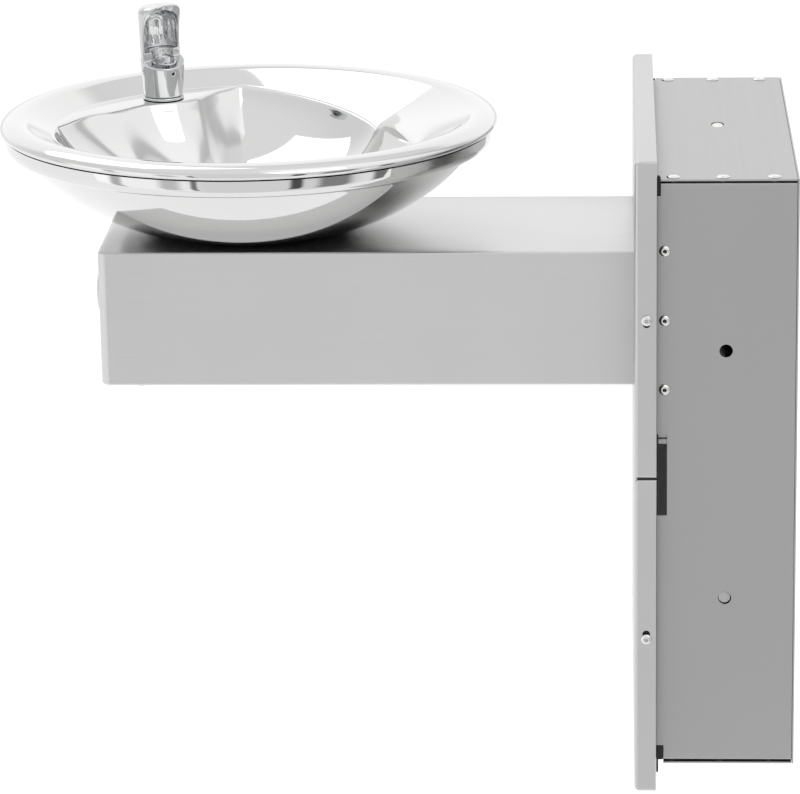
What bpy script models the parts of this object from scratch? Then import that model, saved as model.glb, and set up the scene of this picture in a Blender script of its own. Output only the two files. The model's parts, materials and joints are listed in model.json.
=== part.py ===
"""A wall-mounted drinking fountain: a round basin on a sheet-metal arm, carried by a box set in the wall.

+Z is up, the wall is towards +Y and the user stands at -Y. The origin is the middle of the box's back.
Lengths are metres. The basin is drawn in polar coordinates around its own axis: the angle is 0 towards
the wall and 90 degrees towards +X.
"""

import math

import bmesh
import bpy
from mathutils import Matrix, Vector

MM = 0.001
GAP = 0.3 * MM

# Driving dimensions
SHEET = 1.27 * MM
BOX_WIDTH = 351.6 * MM
BOX_HEIGHT = 444.5 * MM
BOX_DEPTH = 101.6 * MM
BOX_LIP = 16 * MM
PANEL_WIDTH = 382.8 * MM
PANEL_HEIGHT = 477.4 * MM
PANEL_DEPTH = 16.1 * MM
SEAM = 1.1 * MM
SEAM_HEIGHT = 3.2 * MM
ARM_WIDTH = 177.8 * MM
ARM_TOP = 147.2 * MM
ARM_BOTTOM = 44.8 * MM
ARM_REACH = 398.8 * MM
NOSE_CORNER = 8 * MM
BOWL_OFFSET = 290.4 * MM
RIM_RADIUS = 188.4 * MM
RIM_CROWN = 234.8 * MM
ROLL_WIDTH = 13 * MM
ROLL_RISE = 7 * MM
ROLL_DROP = 5 * MM
ROLL_START = 135
ROLL_END = -45
FLANGE_RADIUS = 149.7 * MM
FLANGE_HEIGHT = 223.8 * MM
DRAIN_HEIGHT = 157.8 * MM
DRAIN_HOLE = 17 * MM
WATER_TUBE = 3.2 * MM
WATER_BORE = 2.2 * MM
WASTE_TUBE = 18 * MM
WASTE_HEIGHT = 74 * MM
SUPPLY_X = -60 * MM

# Places that follow from them
PANEL_FACE = -BOX_DEPTH - PANEL_DEPTH
NOSE = PANEL_FACE - ARM_REACH
BOWL_CENTRE = Vector((0, PANEL_FACE - BOWL_OFFSET, 0))
BUBBLER_PLACE = BOWL_CENTRE + Vector((-103.5, -75.5, 0)) * MM
BUTTON_POINT = Vector((0, NOSE, (ARM_TOP + ARM_BOTTOM) / 2))

ROUND = 48
MATERIALS = {}


# Materials

def finish(name, colour, roughness, metallic):
    """The material of this name, made once."""
    if name not in MATERIALS:
        material = bpy.data.materials.new(name)
        material.use_nodes = True
        shader = material.node_tree.nodes["Principled BSDF"]
        shader.inputs["Base Color"].default_value = (*colour, 1)
        shader.inputs["Roughness"].default_value = roughness
        shader.inputs["Metallic"].default_value = metallic
        material.diffuse_color = (*colour, 1)
        MATERIALS[name] = material
    return MATERIALS[name]


def brushed():
    return finish("brushed_stainless", (0.60, 0.60, 0.60), 0.35, 1)


def polished():
    return finish("polished_stainless", (0.78, 0.78, 0.78), 0.06, 1)


def galvanised():
    return finish("galvanised_sheet", (0.50, 0.51, 0.52), 0.45, 1)


def chrome():
    return finish("chrome", (0.85, 0.85, 0.86), 0.04, 1)


def zinc():
    return finish("zinc_fastener", (0.62, 0.62, 0.60), 0.30, 1)


def brass():
    return finish("brass", (0.72, 0.55, 0.28), 0.30, 1)


def black_rubber():
    return finish("black_rubber", (0.03, 0.03, 0.03), 0.80, 0)


def white_plastic():
    return finish("white_plastic", (0.80, 0.80, 0.78), 0.40, 0)


# Shapes

def add_piece(name, points, faces, material, smooth_angle=0, parent=None):
    """One object from points and faces, with its normals turned outwards."""
    mesh = bpy.data.meshes.new(name)
    mesh.from_pydata([tuple(point) for point in points], [], faces)
    shape = bmesh.new()
    shape.from_mesh(mesh)
    bmesh.ops.recalc_face_normals(shape, faces=shape.faces)
    shape.to_mesh(mesh)
    shape.free()
    if smooth_angle:
        mesh.shade_smooth()
        mesh.set_sharp_from_angle(angle=math.radians(smooth_angle))
    mesh.materials.append(material)
    piece = bpy.data.objects.new(name, mesh)
    bpy.context.scene.collection.objects.link(piece)
    if parent is not None:
        piece.parent = parent
    return piece


def prism(name, outline, axis, start, end, material, parent=None):
    """A straight extrusion of an outline. Its two coordinates are the other two axes, in X, Y, Z order."""
    def place(pair, along):
        coordinates = list(pair)
        coordinates.insert("XYZ".index(axis), along)
        return Vector(coordinates)

    count = len(outline)
    points = [place(pair, start) for pair in outline] + [place(pair, end) for pair in outline]
    faces = [tuple(range(count)), tuple(range(count, 2 * count))]
    for i in range(count):
        j = (i + 1) % count
        faces.append((i, j, j + count, i + count))
    return add_piece(name, points, faces, material, 30, parent)


def block(name, low, high, material):
    """A rectangular block between two corners."""
    outline = [(low[0], low[1]), (high[0], low[1]), (high[0], high[1]), (low[0], high[1])]
    return prism(name, outline, "Z", low[2], high[2], material)


def turned(name, profile, material, segments=24, place=None, parent=None, smooth_angle=35):
    """A closed profile of (radius, height) pairs turned about +Z. A radius of 0 lies on the axis."""
    points = []
    rings = []
    for radius, height in profile:
        if radius == 0:
            rings.append([len(points)] * segments)
            points.append(Vector((0, 0, height)))
            continue
        rings.append([len(points) + i for i in range(segments)])
        for i in range(segments):
            turn = 2 * math.pi * i / segments
            points.append(Vector((radius * math.cos(turn), radius * math.sin(turn), height)))
    faces = []
    for ring, following in zip(rings, rings[1:] + rings[:1]):
        for i in range(segments):
            j = (i + 1) % segments
            corners = list(dict.fromkeys((ring[i], ring[j], following[j], following[i])))
            if len(corners) > 2:
                faces.append(tuple(corners))
    piece = add_piece(name, points, faces, material, smooth_angle, parent)
    if place is not None:
        piece.data.transform(place)
    return piece


def at(x, y, z):
    return Matrix.Translation((x, y, z))


def towards(direction, origin):
    """Carries +Z to a direction and the origin to a point."""
    turn = Vector((0, 0, 1)).rotation_difference(Vector(direction)).to_matrix().to_4x4()
    return Matrix.Translation(origin) @ turn


def cylinder(name, radius, low, high, material, segments=24, place=None, parent=None):
    profile = [(0, low), (radius, low), (radius, high), (0, high)]
    return turned(name, profile, material, segments, place, parent)


def sleeve(name, outer, inner, low, high, material, segments=24, place=None, parent=None):
    profile = [(inner, low), (outer, low), (outer, high), (inner, high)]
    return turned(name, profile, material, segments, place, parent)


def nut(name, across_flats, inner, low, high, material, place=None, parent=None):
    """A hexagonal nut with a round hole, around +Z."""
    segments = 24
    points = []
    for i in range(segments):
        turn = 360 * i / segments
        outer = across_flats / 2 / math.cos(math.radians((turn + 30) % 60 - 30))
        unit = Vector((math.cos(math.radians(turn)), math.sin(math.radians(turn)), 0))
        for radius, height in ((inner, low), (outer, low), (outer, high), (inner, high)):
            points.append(unit * radius + Vector((0, 0, height)))
    faces = []
    for i in range(segments):
        this, following = 4 * i, 4 * ((i + 1) % segments)
        for j in range(4):
            k = (j + 1) % 4
            faces.append((this + j, this + k, following + k, following + j))
    piece = add_piece(name, points, faces, material, 35, parent)
    if place is not None:
        piece.data.transform(place)
    return piece


def bent_path(corners, radius, steps=4):
    """The straight runs between the corners, joined by arcs of this radius."""
    corners = [Vector(corner) for corner in corners]
    path = [corners[0]]
    for before, corner, after in zip(corners, corners[1:], corners[2:]):
        arriving = (corner - before).normalized()
        leaving = (after - corner).normalized()
        turn = arriving.angle(leaving)
        setback = radius * math.tan(turn / 2)
        inwards = (leaving - arriving).normalized()
        centre = corner + inwards * radius / math.cos(turn / 2)
        axis = arriving.cross(leaving)
        first = corner - arriving * setback - centre
        for step in range(steps + 1):
            path.append(centre + Matrix.Rotation(turn * step / steps, 3, axis) @ first)
    path.append(corners[-1])
    return path


def tube(name, path, radius, bore, material, sides=8):
    """A hollow tube along a path, open at both ends. With no bore it is a solid rod."""
    headings = [(b - a).normalized() for a, b in zip(path, path[1:])]
    headings.append(headings[-1])
    sideways = headings[0].orthogonal().normalized()
    walls = [radius, bore] if bore else [radius]
    points = []
    previous = headings[0]
    for place, heading in zip(path, headings):
        middle = (previous + heading).normalized()
        sideways = (sideways - middle * sideways.dot(middle)).normalized()
        upwards = middle.cross(sideways)
        for wall in walls:
            for i in range(sides):
                turn = 2 * math.pi * i / sides
                points.append(place + (sideways * math.cos(turn) + upwards * math.sin(turn)) * wall)
        previous = heading
    stride = sides * len(walls)
    last = stride * (len(path) - 1)
    faces = []
    for i in range(sides):
        j = (i + 1) % sides
        for start in range(0, last, stride):
            for wall in range(0, stride, sides):
                a, b = start + wall + i, start + wall + j
                faces.append((a, b, b + stride, a + stride))
        if bore:
            faces.append((i, j, j + sides, i + sides))
            faces.append((last + i, last + j, last + j + sides, last + i + sides))
    if not bore:
        faces.append(tuple(range(sides)))
        faces.append(tuple(range(last, last + sides)))
    return add_piece(name, points, faces, material, 40)


def combine(piece, others, operation="DIFFERENCE"):
    """Booleans that cut the others from the piece, or join them to it, and hide them."""
    for other in others:
        modifier = piece.modifiers.new(other.name, "BOOLEAN")
        modifier.operation = operation
        modifier.solver = "EXACT"
        modifier.object = other
        other.hide_render = True
        other.display_type = "WIRE"


def hole(radius, place, direction, depth, segments=12):
    """A cutter for a round hole, centred on a place."""
    return cylinder("cutter", radius, -depth, depth, galvanised(), segments, towards(direction, place))


def rectangle_hole(low, high):
    return block("cutter", low, high, galvanised())


# Wall box

SIDE_RIVET_Y = -96 * MM
SIDE_RIVET_HEIGHTS = [66.3 * MM, 118 * MM, 169.7 * MM]
FIXING_HOLE = 4.8 * MM
FIXING_HEIGHTS = [-92.7 * MM, 95.3 * MM]
SIDE_FIXING_Y = -51.7 * MM
TOP_FIXING_Y = -54.4 * MM

# The opening in the back: half width, bottom and top
BACK_OPENING = (110 * MM, -190 * MM, -38 * MM)

# Cut-outs in the front edge of each side: bottom, top and depth. The outer two run out through the ends.
NOTCH_END = BOX_HEIGHT / 2 + 1 * MM
NOTCH_WIDTH = 3 * MM
NOTCHES = [
    (-NOTCH_END, -208.1 * MM, 5.4 * MM),
    (-29.1 * MM, 32.8 * MM, 7.5 * MM),
    (210.2 * MM, NOTCH_END, 2.6 * MM),
]


def side_outline():
    """The folded section of a box side, seen along Y: a web with a lip at the top and at the bottom."""
    outer = BOX_WIDTH / 2
    inner = outer - SHEET
    tip = outer - BOX_LIP
    top = BOX_HEIGHT / 2 - SHEET - GAP
    bend = 2 * MM
    upper = [(tip, top - SHEET), (inner, top - SHEET)]
    corner = [(outer, top - bend), (outer - bend, top), (tip, top)]
    lower = [(inner, -top + SHEET), (tip, -top + SHEET), (tip, -top)]
    lower += [(outer - bend, -top), (outer, -top + bend)]
    return upper + lower + corner


def notch(hand, bottom, top, depth):
    """A cutter for one notch in the front edge, on the right (1) or the left (-1)."""
    web = sorted((hand * (BOX_WIDTH / 2 - NOTCH_WIDTH), hand * (BOX_WIDTH / 2 + 1 * MM)))
    return rectangle_hole((web[0], -BOX_DEPTH - 1 * MM, bottom), (web[1], -BOX_DEPTH + depth, top))


def box_side(name, hand):
    """One side of the box, with its front edge notched, three rivet holes and two fixing holes."""
    outline = [(hand * x, z) for x, z in side_outline()]
    side = prism(name, outline, "Y", -BOX_DEPTH, -SHEET - GAP, galvanised())
    cutters = []
    for height in SIDE_RIVET_HEIGHTS:
        place = (hand * BOX_WIDTH / 2, SIDE_RIVET_Y, height)
        cutters.append(hole(2.4 * MM, place, (1, 0, 0), 4 * MM, 8))
    for height in FIXING_HEIGHTS:
        place = (hand * BOX_WIDTH / 2, SIDE_FIXING_Y, height)
        cutters.append(hole(FIXING_HOLE, place, (1, 0, 0), 4 * MM, 16))
    cutters += [notch(hand, *place) for place in NOTCHES]
    combine(side, cutters)


def wall_box():
    half_width = BOX_WIDTH / 2
    half_height = BOX_HEIGHT / 2
    box_side("box_right_side", 1)
    box_side("box_left_side", -1)
    top = block(
        "box_top",
        (-half_width, -BOX_DEPTH, half_height - SHEET),
        (half_width, -SHEET - GAP, half_height),
        galvanised(),
    )
    cutters = [hole(FIXING_HOLE, (0, TOP_FIXING_Y, half_height), (0, 0, 1), 4 * MM, 16)]
    combine(top, cutters + [notch(hand, *NOTCHES[2]) for hand in (1, -1)])
    bottom = block(
        "box_bottom",
        (-half_width, -BOX_DEPTH, -half_height),
        (half_width, -SHEET - GAP, -half_height + SHEET),
        galvanised(),
    )
    combine(bottom, [notch(hand, *NOTCHES[0]) for hand in (1, -1)])
    back = block(
        "box_back",
        (-half_width, -SHEET, -half_height),
        (half_width, 0, half_height),
        galvanised(),
    )
    width, low, high = BACK_OPENING
    combine(back, [rectangle_hole((-width, -5 * MM, low), (width, 5 * MM, high))])


def side_rivets():
    """Blind rivets with a domed head, a dished core and a set tail, through the side and the plate."""
    head = 3.95 * MM
    profile = [
        (0, 1.1 * MM), (1.1 * MM, 1.1 * MM), (1.3 * MM, 2.0 * MM), (2.6 * MM, 1.8 * MM),
        (head, GAP + 0.6 * MM), (head, GAP), (2.0 * MM, GAP),
        (2.0 * MM, -4.6 * MM), (3.2 * MM, -5.2 * MM), (2.2 * MM, -7.5 * MM), (0, -7.5 * MM),
    ]
    for side, hand in (("right", 1), ("left", -1)):
        for number, height in enumerate(SIDE_RIVET_HEIGHTS, start=1):
            place = towards((hand, 0, 0), (hand * BOX_WIDTH / 2, SIDE_RIVET_Y, height))
            turned(f"side_rivet_{side}_{number}", profile, zinc(), 8, place)


# Mounting plate, rails and panels

PLATE_FRONT = -90.5 * MM
PLATE_THICK = 2.5 * MM
PLATE_LOW = 50 * MM
PLATE_HIGH = 182 * MM
ARM_BOLTS = [(x * MM, z * MM) for x in (-100, 100) for z in (71, 162)]
SCREW_HEIGHTS = [-119.4 * MM, 122.2 * MM]
SLOT_HEIGHTS = [-117.1 * MM, 121.2 * MM]
SCREW_Y = PANEL_FACE + 8.6 * MM
SLOT_LENGTH = 9 * MM
SLOT_WIDTH = 5.5 * MM
RAIL_INNER_EDGE = 160 * MM
RAIL_LENGTH = 460 * MM


def arm_mounting_plate():
    """A channel between the box's sides. Its web carries the arm and its returns take the side rivets."""
    outer = BOX_WIDTH / 2 - SHEET - GAP
    inner = outer - PLATE_THICK
    front = -BOX_DEPTH + 1 * MM
    back = PLATE_FRONT + PLATE_THICK
    outline = [
        (-outer, back), (outer, back), (outer, front), (inner, front),
        (inner, PLATE_FRONT), (-inner, PLATE_FRONT), (-inner, front), (-outer, front),
    ]
    plate = prism("arm_mounting_plate", outline, "Z", PLATE_LOW, PLATE_HIGH, galvanised())
    cutters = arm_passages(PLATE_FRONT)
    for hand in (1, -1):
        for height in SIDE_RIVET_HEIGHTS:
            place = (hand * outer, SIDE_RIVET_Y, height)
            cutters.append(hole(2.4 * MM, place, (1, 0, 0), 4 * MM, 8))
    combine(plate, cutters)


def arm_passages(y):
    """Cutters for the bolts, the waste tube and the supply tube, where they pass a plate at this depth."""
    cutters = [hole(4.4 * MM, (x, y, z), (0, 1, 0), 8 * MM, 12) for x, z in ARM_BOLTS]
    cutters.append(hole(WASTE_TUBE + 1.5 * MM, (0, y, WASTE_HEIGHT), (0, 1, 0), 8 * MM, 24))
    cutters.append(hole(5.5 * MM, (SUPPLY_X, y, BUTTON_POINT.z), (0, 1, 0), 8 * MM, 12))
    return cutters


def panel_rails():
    """Angles in front of the box's edges, tapped for the panel screws."""
    outer = PANEL_WIDTH / 2 - SHEET - GAP
    thick = 1.5 * MM
    front = PANEL_FACE + 2.5 * MM
    back = -BOX_DEPTH - GAP
    for name, hand in (("panel_rail_right", 1), ("panel_rail_left", -1)):
        outline = [
            (outer, front), (outer, back), (RAIL_INNER_EDGE, back),
            (RAIL_INNER_EDGE, back - thick), (outer - thick, back - thick), (outer - thick, front),
        ]
        outline = [(hand * x, y) for x, y in outline]
        rail = prism(name, outline, "Z", -RAIL_LENGTH / 2, RAIL_LENGTH / 2, galvanised())
        places = [(hand * outer, SCREW_Y, height) for height in SCREW_HEIGHTS]
        combine(rail, [hole(2.5 * MM, place, (1, 0, 0), 4 * MM, 8) for place in places])


def tray(name, bottom, top, slot_height, opening):
    """A front panel: a face with four rims folded back to the wall, relieved at the seam for the rails."""
    half = PANEL_WIDTH / 2
    bend = 3 * MM
    outline = [
        (PANEL_FACE + bend, top), (PANEL_FACE + bend / 3, top - bend / 3), (PANEL_FACE, top - bend),
        (PANEL_FACE, bottom + bend), (PANEL_FACE + bend / 3, bottom + bend / 3), (PANEL_FACE + bend, bottom),
        (-BOX_DEPTH - GAP, bottom), (-BOX_DEPTH - GAP, top),
    ]
    panel = prism(name, outline, "X", -half, half, brushed())
    inside = rectangle_hole(
        (-half + SHEET, PANEL_FACE + SHEET, bottom + SHEET),
        (half - SHEET, 0, top - SHEET),
    )
    cutters = [inside]
    for hand in (1, -1):
        cutters.append(rectangle_hole(
            (hand * half - 3 * MM, SCREW_Y - SLOT_WIDTH / 2, slot_height - SLOT_LENGTH / 2),
            (hand * half + 3 * MM, SCREW_Y + SLOT_WIDTH / 2, slot_height + SLOT_LENGTH / 2),
        ))
        relief = sorted((hand * (RAIL_INNER_EDGE - 4 * MM), hand * (half - SHEET)))
        cutters.append(rectangle_hole(
            (relief[0], PANEL_FACE + 2 * MM, SEAM_HEIGHT - 3 * MM),
            (relief[1], 0, SEAM_HEIGHT + 3 * MM),
        ))
    if opening:
        half_arm = ARM_WIDTH / 2 + GAP
        cutters.append(rectangle_hole(
            (-half_arm, PANEL_FACE - 5 * MM, ARM_BOTTOM - GAP),
            (half_arm, PANEL_FACE + 5 * MM, ARM_TOP + GAP),
        ))
    combine(panel, cutters)


def front_panels():
    tray("upper_panel", SEAM_HEIGHT + SEAM / 2, PANEL_HEIGHT / 2, SLOT_HEIGHTS[1], True)
    tray("lower_panel", -PANEL_HEIGHT / 2, SEAM_HEIGHT - SEAM / 2, SLOT_HEIGHTS[0], False)
    profile = [
        (0, 2.2 * MM), (2.4 * MM, 2.2 * MM), (3.7 * MM, 1.4 * MM), (4 * MM, GAP),
        (2.1 * MM, GAP), (2.1 * MM, -7 * MM), (0, -7 * MM),
    ]
    for side, hand in (("right", 1), ("left", -1)):
        for level, height in zip(("lower", "upper"), SCREW_HEIGHTS):
            place = towards((hand, 0, 0), (hand * PANEL_WIDTH / 2, SCREW_Y, height))
            turned(f"panel_screw_{level}_{side}", profile, zinc(), 12, place)


# Arm

ARM_OPENING = 71 * MM
ARM_END = PLATE_FRONT - 3.6 * MM
COVER_LIP = 12 * MM
COVER_SCREWS = [(hand * (ARM_WIDTH / 2 - 6.8 * MM), NOSE + 30 * MM) for hand in (-1, 1)]


def arm_solid(name, inset, bottom, top):
    """A solid between two heights with the arm's plan, drawn this far inside its outer face."""
    half = ARM_WIDTH / 2 - inset
    radius = max(NOSE_CORNER - inset, 1 * MM)
    front = NOSE + inset
    points = [(half, ARM_END)]
    for centre, start in ((half - radius, 0), (radius - half, -90)):
        for step in range(4):
            turn = math.radians(start - 30 * step)
            points.append((centre + radius * math.cos(turn), front + radius + radius * math.sin(turn)))
    points.append((-half, ARM_END))
    return prism(name, points, "Z", bottom, top, brushed())


def arm():
    """The shell is open at the bottom and at the wall end. Lips inside its lower edge carry the cover."""
    shell = arm_solid("arm_shell", 0, ARM_BOTTOM, ARM_TOP)
    cover_level = ARM_BOTTOM + SHEET + GAP
    cavity = arm_solid("cutter", SHEET, cover_level + SHEET, ARM_TOP - SHEET)
    mouth = arm_solid("cutter", COVER_LIP, ARM_BOTTOM - 5 * MM, cover_level + 2 * MM)
    recess = arm_solid("cutter", SHEET, ARM_BOTTOM - 5 * MM, cover_level)
    end = rectangle_hole(
        (-ARM_WIDTH / 2 + SHEET, ARM_END - 30 * MM, cover_level + SHEET),
        (ARM_WIDTH / 2 - SHEET, ARM_END + 5 * MM, ARM_TOP - SHEET),
    )
    centre = (*BOWL_CENTRE.xy, ARM_TOP)
    cutters = [cavity, mouth, recess, end, hole(ARM_OPENING, centre, (0, 0, 1), 6 * MM, ROUND)]
    cutters.append(hole(BEZEL_SLEEVE + GAP, BUTTON_POINT, (0, 1, 0), 5 * MM, 24))
    cutters += [hole(2.2 * MM, (x, y, ARM_BOTTOM), (0, 0, 1), 8 * MM, 8) for x, y in COVER_SCREWS]
    combine(shell, cutters)

    cover = arm_solid("arm_bottom_cover", SHEET + GAP, ARM_BOTTOM, ARM_BOTTOM + SHEET)
    behind_panel = rectangle_hole((-1, PANEL_FACE + 4 * MM, 0), (1, 0, ARM_TOP))
    combine(cover, [behind_panel] + [
        hole(2.4 * MM, (x, y, ARM_BOTTOM), (0, 0, 1), 8 * MM, 8) for x, y in COVER_SCREWS
    ])
    profile = [
        (0, -1.8 * MM), (2.4 * MM, -1.8 * MM), (3.6 * MM, -1.0 * MM), (3.8 * MM, -GAP),
        (1.9 * MM, -GAP), (1.9 * MM, 7 * MM), (0, 7 * MM),
    ]
    for number, (x, y) in enumerate(COVER_SCREWS, start=1):
        turned(f"arm_cover_screw_{number}", profile, zinc(), 10, at(x, y, ARM_BOTTOM))

    flange = block(
        "arm_flange",
        (-125 * MM, ARM_END + GAP, 55 * MM),
        (125 * MM, PLATE_FRONT - GAP, 178 * MM),
        galvanised(),
    )
    combine(flange, arm_passages(ARM_END))
    bolts = [
        (0, -5.5 * MM), (6.5 * MM, -5.5 * MM), (6.5 * MM, -GAP), (3.9 * MM, -GAP),
        (3.9 * MM, 18 * MM), (0, 18 * MM),
    ]
    for number, (x, z) in enumerate(ARM_BOLTS, start=1):
        turned(f"arm_bolt_{number}", bolts, zinc(), 6, towards((0, 1, 0), (x, ARM_END + GAP, z)))


# Basin and bowl shell

STEP_START = 325
STEP_END = 390
SPIRAL_START = 263
SPIRAL_PITCH = 0.54 * MM
STEP_DISTANCE = 108.6 * MM
STEP_HEADING = 346.5
STEP_DROP = 6 * MM
LEDGE_DROP = 13 * MM

# The inner edge of the bubbler deck and of the low ledge: angle in degrees, radius
DECK_EDGE = [
    (174, 149.7), (187, 142), (197, 134.5), (206, 123.5), (221, 118.5),
    (235, 110), (244, 114.7), (250, 124.7), (256, 135.5), (266, 149.7),
]
LEDGE_EDGE = [(325, 115.7), (345, 102.9), (370, 98.9), (400, 110.8), (425, 130.6), (455, 149.7)]


def smooth_between(table, angle):
    """A radius from a short table, eased between its points so that the edge has no corners."""
    for (a, low), (b, high) in zip(table, table[1:]):
        if a <= angle <= b:
            share = (angle - a) / (b - a)
            share = 0.5 * share + 0.5 * share * share * (3 - 2 * share)
            return (low + (high - low) * share) * MM
    return FLANGE_RADIUS


def step_share(angle):
    """How far along the step this angle is, from 0 at its inner end to 1 at its outer end."""
    return (angle - STEP_START) / (STEP_END - STEP_START)


def roll_point(degrees, inset):
    """(radius, height) on the rim's roll: 90 is its crown, 0 its outermost point, -45 its lower edge."""
    turn = math.radians(degrees)
    tall = ROLL_RISE if degrees > 0 else ROLL_DROP
    return (
        RIM_RADIUS - ROLL_WIDTH + (ROLL_WIDTH - inset) * math.cos(turn),
        RIM_CROWN - ROLL_RISE + (tall - inset) * math.sin(turn),
    )


def flange_edge(angle):
    """(radius, height) of the flange's inner edge: a circle, a spiral inwards, then the step back out."""
    start_radius, start_height = roll_point(ROLL_START, 0)
    slope = (start_height - FLANGE_HEIGHT) / (start_radius - FLANGE_RADIUS)
    turn = angle % 360
    if turn < STEP_END - 360:
        turn += 360
    if SPIRAL_START < turn < STEP_START:
        radius = FLANGE_RADIUS - SPIRAL_PITCH * (turn - SPIRAL_START)
        return radius, FLANGE_HEIGHT - slope * (FLANGE_RADIUS - radius)
    if turn >= STEP_START:
        radius = STEP_DISTANCE / math.cos(math.radians(turn - STEP_HEADING))
        return radius, FLANGE_HEIGHT - LEDGE_DROP * (1 - step_share(turn)) ** 2
    return FLANGE_RADIUS, FLANGE_HEIGHT


def basin_edge(angle):
    """(step foot's height, radius, height) of the edge where the basin's wall begins."""
    radius, height = flange_edge(angle)
    turn = angle % 360
    if turn < DECK_EDGE[0][0] - 60:
        turn += 360
    foot = height - 0.4 * MM
    if turn >= STEP_START:
        share = min(1, step_share(turn))
        foot = height - 0.4 * MM - STEP_DROP * math.sin(math.pi * share)
        edge = min(radius - 3 * MM, smooth_between(LEDGE_EDGE, turn))
        low = FLANGE_HEIGHT - LEDGE_DROP - 3 * MM
        rise = max(0, (turn - 370) / (LEDGE_EDGE[-1][0] - 370))
        return foot, edge, min(foot - 0.5 * MM, low + (FLANGE_HEIGHT - low) * rise)
    edge = min(radius - 3 * MM, smooth_between(DECK_EDGE, turn))
    return foot, edge, foot - 0.4 * MM


def wall_height(share):
    """The wall's rise as a share of its height, from the flat at the drain up to the basin's edge."""
    dish = 0.97
    curve = (1 - math.sqrt(1 - (dish * share) ** 2)) / (1 - math.sqrt(1 - dish ** 2))
    return 0.35 * share ** 2 + 0.65 * curve


def basin_section(angle):
    """The upper surface from the drain hole outwards to the curled rim, at one angle."""
    flat = 24 * MM
    foot, edge, edge_height = basin_edge(angle)
    flange, flange_height = flange_edge(angle)
    section = [(DRAIN_HOLE, DRAIN_HEIGHT)]
    for step in range(6):
        share = step / 5
        height = DRAIN_HEIGHT + (edge_height - DRAIN_HEIGHT) * wall_height(share)
        section.append((flat + (edge - flat) * share, height))
    section.append((flange - 1 * MM, foot))
    section.append((flange, flange_height))
    return section


def rim_roll(inset):
    """The rim's roll, from the flange over its crown to its lower edge, drawn this far inside."""
    return [roll_point(degrees, inset) for degrees in (ROLL_START, 112, 90, 52, 15, -18, ROLL_END)]


def swept_ring(name, section_at, material):
    """A closed ring around the bowl's axis, whose section may change with the angle."""
    points = []
    for i in range(ROUND):
        angle = 360 * i / ROUND
        turn = math.radians(angle)
        section = section_at(angle)
        count = len(section)
        for radius, height in section:
            points.append(BOWL_CENTRE + Vector((radius * math.sin(turn), radius * math.cos(turn), height)))
    faces = []
    for i in range(ROUND):
        this, following = i * count, (i + 1) % ROUND * count
        for j in range(count):
            k = (j + 1) % count
            faces.append((this + j, this + k, following + k, following + j))
    return add_piece(name, points, faces, material, 40)


def basin():
    """The basin, drawn from one sheet: its underside runs a sheet's thickness below its upper surface."""
    def section_at(angle):
        upper = basin_section(angle)
        lower = [(radius, height - SHEET) for radius, height in upper]
        return upper + rim_roll(0) + rim_roll(SHEET)[::-1] + lower[::-1]

    piece = swept_ring("basin", section_at, polished())
    shank = (*BUBBLER_PLACE.xy, FLANGE_HEIGHT)
    combine(piece, [hole(6.8 * MM, shank, (0, 0, 1), 8 * MM, 12)])


SHELL_RADIUS = 175.3 * MM
SHELL_TOP = 210.3 * MM
SHELL_BOTTOM = 140 * MM
SHELL_HOLE = 24 * MM
TUBE_PASSAGE = BOWL_CENTRE + Vector((-39, -31, 0)) * MM


def shell_height(radius):
    """The underside of the bowl's shell: nearly flat over the arm, steeper towards the apron."""
    share = radius / SHELL_RADIUS
    return SHELL_BOTTOM + (SHELL_TOP - SHELL_BOTTOM) * (0.6 * share ** 2 + 0.4 * share ** 4)


def bowl_shell():
    """The upright apron under the rim and the shallow round shell below it, as one spun sheet."""
    apron = [(178.4, 210.2), (182.3, 211.8), (184.8, 216), (185.4, 223.4)]
    apron = [(radius * MM, height * MM) for radius, height in apron]
    radii = [SHELL_HOLE, 50 * MM, 75 * MM, 105 * MM, 140 * MM, SHELL_RADIUS]
    outside = [(radius, shell_height(radius)) for radius in radii] + apron
    inside = [(radius, shell_height(radius) + SHEET) for radius in radii[:-1]]
    inside += [(SHELL_RADIUS - 2 * SHEET, SHELL_TOP + SHEET / 2), (176.6 * MM, 211.7 * MM)]
    inside += [(radius - SHEET, height + SHEET / 2) for radius, height in apron[1:-1]]
    inside.append((apron[-1][0] - SHEET, apron[-1][1]))
    section = outside + inside[::-1]
    piece = swept_ring("bowl_shell", lambda angle: section, polished())
    passage = (*TUBE_PASSAGE.xy, shell_height(50 * MM))
    combine(piece, [hole(5 * MM, passage, (0, 0, 1), 10 * MM, 10)])


def bowl_support_ring():
    """A stepped ring under the arm's top, which the bowl's bottom sits in."""
    under_arm = ARM_TOP - SHEET - GAP
    profile = [
        (57 * MM, 141.8 * MM), (84 * MM, under_arm - 2.4 * MM), (84 * MM, under_arm),
        (73 * MM, under_arm), (70 * MM, 144.2 * MM), (57 * MM, 144.2 * MM),
    ]
    turned("bowl_support_ring", profile, galvanised(), 32, Matrix.Translation(BOWL_CENTRE))


# Bubbler

BUBBLER_RADIUS = 17.2 * MM
BUBBLER_SHANK = 191 * MM
BUBBLER_FOOT = 226 * MM
BUBBLER_SEAT = 254.5 * MM
HOOD_RADIUS = 16.8 * MM
FOOT_RADIUS = 15.4 * MM
HOOD_TOP = 300 * MM
DECK_HEIGHT = FLANGE_HEIGHT - 0.4 * MM


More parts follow.
